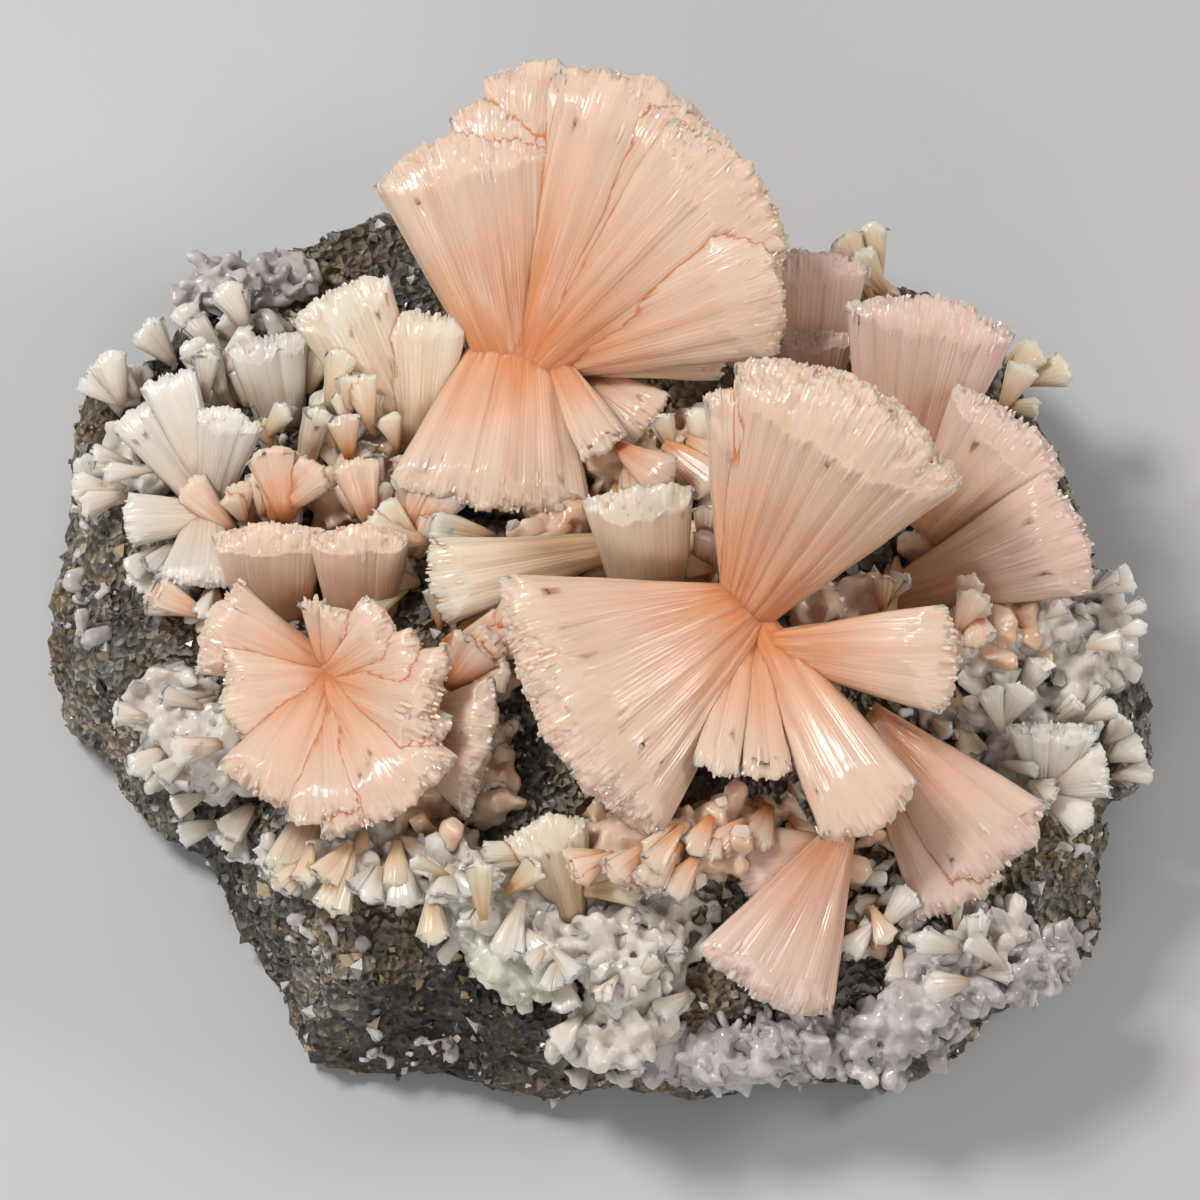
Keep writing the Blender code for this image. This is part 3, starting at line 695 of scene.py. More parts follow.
def ends(name, low, high, transmission=0.35, rough=0.16):
    """Small clear crystal ends and grains: info y is a chance number."""
    m = bpy.data.materials.new(name)
    m.use_nodes = True
    nt = m.node_tree
    b = nt.nodes["Principled BSDF"]
    g = node(nt, "ShaderNodeAttribute", attribute_name="grain").outputs["Vector"]
    info = node(nt, "ShaderNodeSeparateXYZ")
    nt.links.new(node(nt, "ShaderNodeAttribute", attribute_name="info").outputs["Vector"], info.inputs[0])
    along, chance, tip = info.outputs[0], info.outputs[1], info.outputs[2]
    fine = noise_at(nt, g, 1.0, 4.6, 0.13, 2.0)
    cloud = noise_at(nt, g, 1.0, 0.9, 0.5, 2.0)
    f = math_node(nt, "MULTIPLY_ADD", chance, 0.55, math_node(nt, "MULTIPLY", along, 0.45))
    f = math_node(nt, "MULTIPLY_ADD", math_node(nt, "SUBTRACT", cloud, 0.5), 0.9, f, clamp=True)
    colour = mix_colour(nt, f, low, high)
    nt.links.new(colour, b.inputs["Base Color"])
    b.inputs["Transmission Weight"].default_value = transmission
    b.inputs["IOR"].default_value = 1.50
    nt.links.new(math_node(nt, "MULTIPLY_ADD", fine, 0.16, rough - 0.10), b.inputs["Roughness"])
    bp = node(nt, "ShaderNodeBump")
    bp.inputs["Strength"].default_value = 0.4
    bp.inputs["Distance"].default_value = 0.0001
    nt.links.new(fine, bp.inputs["Height"])
    nt.links.new(bp.outputs[0], b.inputs["Normal"])
    return m


def waxy(name, dark, pale, glow=(0.9, 0.8, 0.75), scale=0.0014, rough=0.2, sss=0.85):
    """Cloudy crusts of grown-together crystals."""
    m = bpy.data.materials.new(name)
    m.use_nodes = True
    nt = m.node_tree
    b = nt.nodes["Principled BSDF"]
    o = node(nt, "ShaderNodeTexCoord").outputs["Object"]
    cloud = noise_at(nt, o, 1.0, 210.0, 210.0, 2.0)
    fine = noise_at(nt, o, 1.0, 1700.0, 1700.0, 1.0)
    f = math_node(nt, "MULTIPLY_ADD", math_node(nt, "SUBTRACT", cloud, 0.5), 2.4, 0.55, clamp=True)
    colour = mix_colour(nt, f, dark, pale)
    nt.links.new(colour, b.inputs["Base Color"])
    b.subsurface_method = "RANDOM_WALK"
    b.inputs["Subsurface Weight"].default_value = sss
    b.inputs["Subsurface Radius"].default_value = glow
    b.inputs["Subsurface Scale"].default_value = scale
    b.inputs["IOR"].default_value = 1.50
    nt.links.new(math_node(nt, "MULTIPLY_ADD", fine, 0.24, rough - 0.12), b.inputs["Roughness"])
    bp = node(nt, "ShaderNodeBump")
    bp.inputs["Strength"].default_value = 0.45
    bp.inputs["Distance"].default_value = 0.00018
    nt.links.new(fine, bp.inputs["Height"])
    nt.links.new(bp.outputs[0], b.inputs["Normal"])
    return m


# the third colour of each striated crystal is painted shade for its grooves
PEACH = crystal("peach_stilbite",
                [(0.0, (0.80, 0.30, 0.11)), (0.12, (0.84, 0.41, 0.20)), (0.30, (0.86, 0.515, 0.335)), (0.55, (0.867, 0.59, 0.43)), (0.8, (0.873, 0.635, 0.495)), (1.0, (0.885, 0.68, 0.56))],
                (0.72, 0.26, 0.09), (0.90, 0.73, 0.63))
PINK = crystal("pink_stilbite",
               [(0.0, (0.70, 0.32, 0.16)), (0.18, (0.79, 0.45, 0.29)), (0.45, (0.83, 0.55, 0.43)), (1.0, (0.86, 0.66, 0.58))],
               (0.62, 0.28, 0.13), (0.90, 0.78, 0.70))
CREAM = crystal("cream_stilbite",
                [(0.0, (0.72, 0.44, 0.22)), (0.3, (0.82, 0.60, 0.40)), (0.7, (0.86, 0.71, 0.55)), (1.0, (0.89, 0.79, 0.67))],
                (0.60, 0.38, 0.20), (0.92, 0.86, 0.78), glow=(0.9, 0.65, 0.42))
PEACH_TIP = ends("peach_ends", (0.88, 0.57, 0.41), (0.92, 0.72, 0.60), transmission=0.0)
PINK_TIP = ends("pink_ends", (0.88, 0.62, 0.49), (0.92, 0.77, 0.69), transmission=0.0)
CREAM_TIP = ends("cream_ends", (0.85, 0.65, 0.46), (0.91, 0.80, 0.68), transmission=0.0)
ICE = crystal("white_stilbite",
              [(0.0, (0.74, 0.56, 0.42)), (0.35, (0.82, 0.71, 0.61)), (1.0, (0.87, 0.82, 0.76))],
              (0.60, 0.47, 0.36), (0.90, 0.87, 0.83), glow=(0.9, 0.78, 0.66), scale=0.0014)
WHITE_TIP = ends("white_ends", (0.66, 0.60, 0.55), (0.86, 0.84, 0.82), transmission=0.0)
WHITE = waxy("white_druse", (0.68, 0.60, 0.53), (0.90, 0.86, 0.81), rough=0.16)
GREEN = waxy("greenish_druse", (0.66, 0.65, 0.51), (0.88, 0.87, 0.78), glow=(0.85, 0.9, 0.7))
LILAC = waxy("lilac_druse", (0.46, 0.41, 0.41), (0.80, 0.75, 0.74), scale=0.0008)
PEACH_DRUSE = waxy("peach_druse", (0.82, 0.50, 0.32), (0.90, 0.72, 0.58), glow=(0.9, 0.6, 0.42))
WHITE_POINTS = ends("white_points", (0.82, 0.77, 0.71), (0.95, 0.93, 0.90), transmission=0.45, rough=0.08)
GREEN_POINTS = ends("greenish_points", (0.70, 0.70, 0.58), (0.88, 0.89, 0.81), transmission=0.0, rough=0.11)
LILAC_POINTS = ends("lilac_points", (0.50, 0.46, 0.47), (0.88, 0.85, 0.85), transmission=0.40, rough=0.08)
PEACH_POINTS = ends("peach_points", (0.86, 0.60, 0.44), (0.93, 0.80, 0.70), transmission=0.05, rough=0.14)
POINTS = {id(WHITE): WHITE_POINTS, id(GREEN): GREEN_POINTS, id(LILAC): LILAC_POINTS, id(PEACH_DRUSE): PEACH_POINTS}


def stone(name, grains=False):
    """Dark basalt, speckled with ochre, rust and pale grains."""
    m = bpy.data.materials.new(name)
    m.use_nodes = True
    nt = m.node_tree
    b = nt.nodes["Principled BSDF"]
    if grains:
        g = node(nt, "ShaderNodeAttribute", attribute_name="grain").outputs["Vector"]
        info = node(nt, "ShaderNodeSeparateXYZ")
        nt.links.new(node(nt, "ShaderNodeAttribute", attribute_name="info").outputs["Vector"], info.inputs[0])
        base = ramp(nt, info.outputs[1], [(0.0, (0.02, 0.02, 0.022)), (0.16, (0.06, 0.06, 0.06)), (0.34, (0.16, 0.155, 0.15)), (0.50, (0.32, 0.31, 0.29)),
                                          (0.62, (0.26, 0.17, 0.08)), (0.74, (0.45, 0.31, 0.16)), (0.84, (0.58, 0.48, 0.34)), (0.92, (0.64, 0.62, 0.60)), (1.0, (0.82, 0.80, 0.78))])
        small = noise_at(nt, g, 1.0, 2.2, 2.2, 3.0, 0.65)
        colour = mix_colour(nt, math_node(nt, "MULTIPLY", math_node(nt, "SUBTRACT", small, 0.5), 2.0, clamp=True), base, (0.06, 0.052, 0.045))
        nt.links.new(colour, b.inputs["Base Color"])
        b.inputs["Coat Weight"].default_value = 0.7
        b.inputs["Coat Roughness"].default_value = 0.12
        nt.links.new(math_node(nt, "MULTIPLY_ADD", small, 0.5, 0.12), b.inputs["Roughness"])
        b.inputs["Transmission Weight"].default_value = 0.0
        bp = node(nt, "ShaderNodeBump")
        bp.inputs["Strength"].default_value = 0.5
        bp.inputs["Distance"].default_value = 0.0002
        nt.links.new(small, bp.inputs["Height"])
        nt.links.new(bp.outputs[0], b.inputs["Normal"])
        return m
    o = node(nt, "ShaderNodeTexCoord").outputs["Object"]

    def tex(scale, detail=3.0, rough=0.6):
        t = node(nt, "ShaderNodeTexNoise")
        t.inputs["Scale"].default_value = scale
        t.inputs["Detail"].default_value = detail
        t.inputs["Roughness"].default_value = rough
        nt.links.new(o, t.inputs["Vector"])
        return t.outputs["Fac"]

    v = node(nt, "ShaderNodeTexVoronoi", feature="F1")
    v.inputs["Scale"].default_value = 900
    nt.links.new(o, v.inputs["Vector"])
    v2 = node(nt, "ShaderNodeTexVoronoi", feature="F1")
    v2.inputs["Scale"].default_value = 2100
    nt.links.new(o, v2.inputs["Vector"])
    chance = node(nt, "ShaderNodeSeparateColor")
    nt.links.new(v.outputs["Color"], chance.inputs[0])
    chance2 = node(nt, "ShaderNodeSeparateColor")
    nt.links.new(v2.outputs["Color"], chance2.inputs[0])
    large, mid = tex(60, 4.0), tex(260, 4.0)
    base = ramp(nt, mid, [(0.3, (0.05, 0.047, 0.044)), (0.42, (0.17, 0.16, 0.15)), (0.53, (0.37, 0.35, 0.32)), (0.65, (0.58, 0.55, 0.51))])
    grain_c = ramp(nt, chance.outputs[0], [(0.0, (0.03, 0.03, 0.032)), (0.26, (0.11, 0.105, 0.10)), (0.50, (0.28, 0.265, 0.25)), (0.66, (0.36, 0.24, 0.11)), (0.82, (0.54, 0.43, 0.28)), (1.0, (0.76, 0.74, 0.70))])
    colour = mix_colour(nt, 0.5, base, grain_c)
    ochre = math_node(nt, "MULTIPLY", math_node(nt, "SUBTRACT", large, 0.47), 5.0, clamp=True)
    spots = math_node(nt, "GREATER_THAN", chance2.outputs[1], 0.62)
    colour = mix_colour(nt, math_node(nt, "MULTIPLY", math_node(nt, "MULTIPLY", ochre, spots), 0.75), colour, (0.42, 0.27, 0.12))
    colour = mix_colour(nt, math_node(nt, "MULTIPLY", ochre, 0.55), colour, (0.42, 0.29, 0.15))
    patch = math_node(nt, "MULTIPLY", math_node(nt, "SUBTRACT", tex(38, 3.0), 0.40), 5.0, clamp=True)
    lit = node(nt, "ShaderNodeVectorMath", operation="SCALE")
    nt.links.new(colour, lit.inputs[0])
    nt.links.new(math_node(nt, "MULTIPLY_ADD", patch, 1.25, 0.55), lit.inputs["Scale"])
    colour = lit.outputs[0]
    nt.links.new(colour, b.inputs["Base Color"])
    nt.links.new(math_node(nt, "MULTIPLY_ADD", chance2.outputs[0], 0.55, 0.25), b.inputs["Roughness"])
    b.inputs["Coat Weight"].default_value = 0.15
    b.inputs["Coat Roughness"].default_value = 0.25
    bp = node(nt, "ShaderNodeBump")
    bp.inputs["Strength"].default_value = 0.8
    bp.inputs["Distance"].default_value = 0.0004
    h = math_node(nt, "MULTIPLY_ADD", v.outputs["Distance"], 250.0, math_node(nt, "MULTIPLY", tex(900, 4.0, 0.7), 0.8))
    nt.links.new(h, bp.inputs["Height"])
    nt.links.new(bp.outputs[0], b.inputs["Normal"])
    return m


ROCK = stone("basalt")
GRAINS = stone("basalt_grains", grains=True)

# ---------------------------------------------------------------- the rock
def rock_piece():
    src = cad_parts["basalt_matrix"]
    mesh = src.data.copy()
    mesh.name = "basalt_rock"
    mesh.materials.clear()
    mesh.materials.append(ROCK)
    ob = bpy.data.objects.new("basalt_rock", mesh)
    bpy.context.scene.collection.objects.link(ob)
    m = ob.modifiers.new("r", "REMESH")
    m.mode = "VOXEL"
    m.voxel_size = 0.00082
    deps = bpy.context.evaluated_depsgraph_get()
    mesh = bpy.data.meshes.new_from_object(ob.evaluated_get(deps))
    ob.modifiers.clear()
    ob.data = mesh
    n = len(mesh.vertices)
    co = np.empty(n * 3, np.float32)
    mesh.vertices.foreach_get("co", co)
    co = co.reshape(-1, 3).astype(float)
    nor = np.empty(n * 3, np.float32)
    mesh.vertices.foreach_get("normal", nor)
    nor = nor.reshape(-1, 3).astype(float)
    d = np.empty(n)
    for i in range(n):
        p = Vector(co[i])
        a = noise.noise(p * 95 + Vector((3, 0, 0)))
        b = noise.noise(p * 260 + Vector((0, 5, 0)))
        c = noise.cell(p * 620 + Vector((noise.noise(p * 500), b, 0)) * 1.3)
        v = noise.voronoi(p * 330)[0]
        pit = noise.noise(p * 150 + Vector((9, 9, 0)))
        d[i] = 0.0010 * a + 0.00055 * b + 0.00032 * (c - 0.5) + 0.00075 * (v[1] - v[0] - 0.25) - 0.0016 * max(0.0, pit - 0.32) * 2.2
    low = np.clip((co[:, 2] - 0.0006) / 0.0014, 0, 1)
    co = co + nor * (d * low)[:, None]
    co[:, 2] = np.maximum(co[:, 2], 0.0)
    mesh.vertices.foreach_set("co", co.astype(np.float32).ravel())
    mesh.polygons.foreach_set("use_smooth", np.zeros(len(mesh.polygons), bool))
    mesh.update()
    mesh.materials.clear()
    mesh.materials.append(ROCK)
    settle(ob, "basalt_matrix", "basalt")
    print("PIECE rock", 2 * len(mesh.polygons))
    return ob


def tree_of(ob):
    bm = bmesh.new()
    bm.from_mesh(ob.data)
    t = BVHTree.FromBMesh(bm)
    bm.free()
    return t


rock = rock_piece()
rock_tree = tree_of(rock)
M = np.array(MIDDLE)


def hit(tree, px, py):
    """Where the line through (px, py) meets the tree: the point, before the shift to the origin, and its normal."""
    r = tree.ray_cast(EYE_W, line(px, py))
    if r[0] is None:
        return None, None
    return np.array(r[0]) + M, np.array(r[1])


def ellipse(rng, n, px, py, rx, ry):
    a, r = rng.uniform(0, 2 * np.pi, n), np.sqrt(rng.random(n))
    return px + rx * r * np.cos(a), py + ry * r * np.sin(a)


def rough_directions(rng, normals, spread):
    return unit(normals + rng.normal(0, spread, normals.shape))


# ---------------------------------------------------------------- stilbite groups
SLOT = {id(ICE): "white_druse", id(PEACH_DRUSE): "peach_stilbite", id(PEACH): "peach_stilbite", id(PINK): "pink_stilbite", id(CREAM): "cream_stilbite", id(WHITE): "white_druse", id(GREEN): "greenish_druse", id(LILAC): "white_druse"}
LOOKS = {
    "central_bow_tie": PEACH, "upper_bow_tie": PEACH, "lower_left_rosette": PEACH, "right_rear_sheaf": PINK, "right_fan": PINK,
    "rear_fan": PINK, "upper_left_sheaf": CREAM, "middle_left_tufts": PEACH, "cream_sheaf": CREAM, "upright_sheaf": CREAM,
    "front_fan": PINK, "right_front_fan": PINK, "cream_cluster": CREAM, "pale_blade": CREAM, "white_tuft": ICE,
    "upright_crystal": CREAM, "left_spray": ICE, "right_spray": ICE,
}
# lobes that fill the clefts between those of the solids
BRIDGES = {
    "upper_bow_tie": [(552, 357, 5, 772, 222, 22, 22, 66, 20, 48, 0, .10), (514, 347, 6, 506, 98, 23, 26, 62, 22, 46, 0, .08),
                      (542, 352, 6, 704, 122, 25, 26, 62, 22, 52, 0, .08), (530, 345, 6, 604, 72, 25, 22, 52, 18, 48, 0, .07)],
    "central_bow_tie": [(742, 601, 6, 806, 386, 28, 24, 70, 22, 62, 0, .08)],
    "lower_left_rosette": [(332, 672, 6, 352, 612, 13, 12, 32, 10, 24, 0, .05), (338, 678, 6, 424, 674, 13, 18, 48, 14, 32, 0, .07),
                           (334, 686, 6, 424, 768, 11, 20, 60, 16, 34, 0, .07), (328, 690, 6, 338, 822, 11, 20, 54, 16, 34, 0, .07),
                           (322, 682, 6, 228, 708, 10, 20, 62, 16, 32, 0, .07)],
}
ident = 0
groups = []
fans = {}
TIPS = {"peach_stilbite": ("peach_crystal_ends", PEACH_TIP), "pink_stilbite": ("pink_crystal_ends", PINK_TIP), "cream_stilbite": ("cream_crystal_ends", CREAM_TIP),
        "white_druse": ("white_crystal_ends", WHITE_TIP)}
ends = {k: Heap() for k in TIPS}
for name, rows in FANS.items():
    lobes = []
    seed = sum(ord(ch) * (i + 3) for i, ch in enumerate(name))
    fans[name] = []
    look = LOOKS[name]
    for i, row in enumerate(rows + BRIDGES.get(name, [])):
        ident += 1
        f = Fan(row, seed + i, ident)
        fans[name].append(f)
        big = f.w1 > 0.0055
        heap = Heap()
        f.skin(heap, pitch=0.60 if big else 0.50, jag=1.0 if big else 0.8)
        f.tips(ends[SLOT[id(look)]], per_mm2=0.5 if big else 0.8, bw=0.5 if big else 0.42)
        lobes.append(heap.mesh(f"{name}_{i}", [look]))
    piece = unite(lobes)
    piece.name = piece.data.name = name + "_crystals"
    settle(piece, name, SLOT[id(look)])
    groups.append(piece)
    print("PIECE", piece.name, sum(len(p.vertices) - 2 for p in piece.data.polygons))
# ---------------------------------------------------------------- lumps of druse
LUMP_LOOKS = {"pale_lumps": GREEN, "rounded_lump": GREEN, "top_left_crust": LILAC, "front_rim_druse": LILAC, "right_front_druse": LILAC}


def melt(name, heap, look, voxel, node_name=None, slot_name="white_druse", extra=None):
    """Crystals grown together into one closed crust."""
    ob = heap.mesh(name, [look])
    if extra is not None:
        bm = bmesh.new()
        bm.from_mesh(ob.data)
        bm.from_mesh(extra)
        bm.to_mesh(ob.data)
        bm.free()
    m = ob.modifiers.new("r", "REMESH")
    m.mode = "VOXEL"
    m.voxel_size = voxel
    m.use_smooth_shade = True
    m = ob.modifiers.new("d", "DECIMATE")
    m.ratio = 0.42
    mesh = bpy.data.meshes.new_from_object(ob.evaluated_get(bpy.context.evaluated_depsgraph_get()))
    ob.modifiers.clear()
    old = ob.data
    ob.data = mesh
    bpy.data.meshes.remove(old)
    mesh.name = name
    n = len(mesh.vertices)
    co = np.empty(n * 3, np.float32)
    mesh.vertices.foreach_get("co", co)
    co = co.reshape(-1, 3).astype(float)
    nor = np.empty(n * 3, np.float32)
    mesh.vertices.foreach_get("normal", nor)
    nor = nor.reshape(-1, 3).astype(float)
    p = co * 1000
    h = 0.00011 * layers(p[:, 0] * 0.9, p[:, 1] * 0.9, p[:, 2] * 0.9) + 0.00007 * lattice(p[:, 0] * 2.3, p[:, 1] * 2.3, p[:, 2] * 2.3)
    co += nor * h[:, None]
    co[:, 2] = np.maximum(co[:, 2], 0.0002)
    mesh.vertices.foreach_set("co", co.astype(np.float32).ravel())
    mesh.materials.clear()
    mesh.materials.append(look)
    mesh.update()
    settle(ob, node_name, slot_name)
    print("PIECE", name, sum(len(p.vertices) - 2 for p in mesh.polygons))
    return ob


def lump_piece(name, look, count, seed):
    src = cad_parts[name]
    rng = np.random.default_rng(seed)
    mesh = src.data.copy()
    n = len(mesh.vertices)
    co = np.empty(n * 3, np.float32)
    mesh.vertices.foreach_get("co", co)
    co = co.reshape(-1, 3).astype(float)
    mesh.calc_loop_triangles()
    T = np.array([tuple(t.vertices) for t in mesh.loop_triangles])
    a, b, c = co[T[:, 0]] + M, co[T[:, 1]] + M, co[T[:, 2]] + M
    fn = np.cross(b - a, c - a)
    area = np.linalg.norm(fn, axis=1)
    fn = unit(fn)
    pr = area * (fn[:, 2] > -0.35)
    pick = rng.choice(len(T), count, p=pr / pr.sum())
    w = rng.dirichlet((1, 1, 1), count)
    P = a[pick] * w[:, :1] + b[pick] * w[:, 1:2] + c[pick] * w[:, 2:]
    d = rough_directions(rng, fn[pick], 0.5)
    L = rng.gamma(5, 0.00048, count).clip(0.0012, 0.0042)
    hw = L * rng.uniform(0.20, 0.42, count)
    heap = Heap()
    crystals(heap, P - d * (L * 0.50)[:, None], d, L, hw, hw * rng.uniform(0.5, 0.9, count), rng.uniform(0, 6.28, count), rng.random(count), rng=rng, ident=seed, tip=0.2, ridge=0.6)
    ob = melt(name + "_crust", heap, look, 0.00034, name, SLOT[id(look)], extra=mesh)
    bpy.data.meshes.remove(mesh)
    more = int(count * 0.35)
    pick = rng.choice(len(T), more, p=pr / pr.sum())
    w = rng.dirichlet((1, 1, 1), more)
    P = a[pick] * w[:, :1] + b[pick] * w[:, 1:2] + c[pick] * w[:, 2:]
    d = rough_directions(rng, fn[pick], 0.55)
    L = rng.gamma(5, 0.00044, more).clip(0.0010, 0.0040)
    hw = L * rng.uniform(0.20, 0.42, more)
    crystals(points[id(look)], P - d * (L * 0.58)[:, None], d, L, hw, hw * rng.uniform(0.45, 0.95, more), rng.uniform(0, 6.28, more), rng.random(more), rng=rng, ident=seed, tip=0.2, ridge=0.6)
    return ob


def trees(obs):
    bm = bmesh.new()
    for ob in obs:
        bm.from_mesh(ob.data)
    t = BVHTree.FromBMesh(bm)
    bm.free()
    return t


fan_tree = trees([ob for ob in groups])


def show(tree, rng, px, py, rx, ry, count):
    """Up to count points of the tree inside the ellipse that no large sheaf hides."""
    out = []
    for x, y in zip(*ellipse(rng, count * 4, px, py, rx, ry)):
        r = tree.ray_cast(EYE_W, line(x, y))
        if r[0] is None:
            continue
        q = fan_tree.ray_cast(EYE_W, line(x, y))
        if q[0] is not None and q[3] < r[3] - 0.0006:
            continue
        out.append((x, y, np.array(r[0]) + M, np.array(r[1])))
        if len(out) == count:
            break
    return out


crusts = [rock]
points = {id(m): Heap() for m in (WHITE, GREEN, LILAC, PEACH_DRUSE)}
for k, name in enumerate(LUMPS):
    vol = sum(r[3] * r[4] for r in LUMPS[name])
    crusts.append(lump_piece(name, LUMP_LOOKS.get(name, PEACH_DRUSE if name == "bead_cluster" else WHITE), int(60 + vol * 0.045), 500 + k))
under = trees(crusts)

# ---------------------------------------------------------------- loose druse between the groups, placed where it shows: x, y, half widths, count, size in mm
PATCHES = {
    "loose_white_druse": (WHITE, "white_druse", [
        (170, 400, 56, 36, 40, 2.2), (150, 460, 40, 50, 40, 2.2), (260, 370, 50, 50, 40, 2.2), (330, 450, 60, 30, 30, 1.8), (200, 560, 50, 30, 26, 1.8),
        (170, 705, 40, 30, 46, 2.6), (215, 745, 40, 40, 50, 2.6), (160, 760, 30, 24, 20, 2.0), (300, 860, 50, 24, 34, 2.2), (400, 880, 60, 30, 50, 2.2),
        (470, 900, 40, 50, 40, 2.2), (560, 900, 40, 60, 60, 2.2), (620, 940, 60, 50, 70, 2.4), (640, 1000, 50, 50, 60, 2.2), (600, 1050, 50, 34, 44, 2.2),
        (1010, 640, 60, 50, 60, 2.4), (1085, 640, 44, 54, 60, 2.6), (1050, 720, 50, 30, 50, 2.4), (1020, 780, 50, 40, 50, 2.4), (1060, 830, 40, 30, 24, 2.0),
        (960, 930, 60, 40, 44, 2.6), (880, 880, 40, 24, 16, 2.0), (940, 720, 40, 24, 24, 2.0), (660, 880, 50, 24, 30, 2.0), (700, 930, 30, 40, 20, 1.8)]),
    "loose_lilac_druse": (LILAC, "white_druse", [
        (250, 280, 60, 20, 50, 1.8), (210, 325, 36, 36, 18, 1.6), (700, 1062, 70, 24, 66, 1.8), (800, 1062, 80, 24, 70, 1.8), (880, 1044, 50, 34, 50, 2.0),
        (935, 1010, 50, 44, 50, 2.4), (1005, 975, 60, 34, 46, 2.0), (1055, 950, 44, 30, 26, 1.8), (760, 1030, 70, 24, 30, 1.6), (85, 600, 24, 60, 14, 1.6),
        (100, 500, 20, 40, 12, 1.6), (340, 930, 60, 20, 14, 1.6), (400, 1045, 60, 20, 14, 1.6)]),
    "loose_peach_druse": (PEACH_DRUSE, "peach_stilbite", [
        (690, 552, 26, 26, 30, 2.6), (840, 612, 80, 18, 50, 2.6), (980, 645, 50, 24, 34, 2.6), (890, 598, 30, 18, 16, 3.2), (700, 600, 24, 20, 14, 2.4),
        (385, 480, 34, 40, 32, 2.5), (300, 510, 60, 30, 24, 2.7), (600, 520, 34, 30, 19, 2.2), (690, 550, 30, 24, 24, 2.4), (840, 615, 80, 20, 40, 2.4),
        (965, 640, 50, 26, 32, 2.5), (640, 835, 60, 24, 40, 2.5), (740, 835, 60, 24, 32, 2.5), (480, 780, 34, 40, 32, 2.5), (620, 430, 50, 40, 24, 2.2),
        (240, 620, 50, 24, 16, 2.4), (440, 810, 50, 34, 28, 2.7), (880, 340, 60, 40, 24, 2.7), (760, 350, 30, 40, 20, 2.4), (700, 590, 30, 20, 16, 2.2),
        (480, 600, 40, 40, 19, 2.4), (820, 330, 50, 30, 19, 2.7), (460, 720, 50, 80, 48, 3.4), (600, 540, 90, 40, 48, 3.3), (640, 450, 60, 60, 40, 3.3),
        (880, 330, 60, 70, 32, 3.4), (980, 580, 80, 60, 40, 3.3), (330, 540, 100, 50, 48, 3.3), (700, 840, 120, 40, 48, 3.3), (860, 880, 60, 60, 16, 2.7)]),
}
for k, (name, (look, slot_name, spots)) in enumerate(PATCHES.items()):
    rng = np.random.default_rng(900 + k)
    heap = Heap()
    B, D, L = [], [], []
    for px, py, rx, ry, count, size in spots:
        for x, y, p, nrm in show(under, rng, px, py, rx, ry, count):
            B.append(p)
            D.append(nrm * 0.75 + np.array([0, 0, 0.35]))
            L.append(size * rng.gamma(6, 1 / 6) / 1000)
    B, D, L = np.array(B), np.array(D), np.array(L).clip(0.0010, 0.0046)
    d = rough_directions(rng, unit(D), 0.5)
    n = len(B)
    hw = L * rng.uniform(0.20, 0.40, n)
    crystals(heap, B - d * (L * 0.3)[:, None], d, L * 1.15, hw, hw * rng.uniform(0.55, 1.0, n), rng.uniform(0, 6.28, n), rng.random(n), rng=rng, ident=k * 31, tip=0.2, ridge=0.6)
    low = rng.random(n) < 0.3
    d = unit(d + rng.normal(0, 0.4, d.shape))
    crystals(points[id(look)], (B - d * (L * 0.2)[:, None])[low], d[low], L[low] * 1.1, hw[low] * 0.7, hw[low] * 0.5, rng.uniform(0, 6.28, low.sum()), rng.random(low.sum()), rng=rng, ident=k * 31, tip=0.2, ridge=0.6)
    crusts.append(melt(name, heap, look, 0.00036, None, slot_name))
under = trees(crusts)
for look, label in ((WHITE, "white"), (GREEN, "greenish"), (LILAC, "lilac"), (PEACH_DRUSE, "peach")):
    points[id(look)].build(label + "_points", [POINTS[id(look)]], None, "greenish_druse" if look is GREEN else SLOT[id(look)])

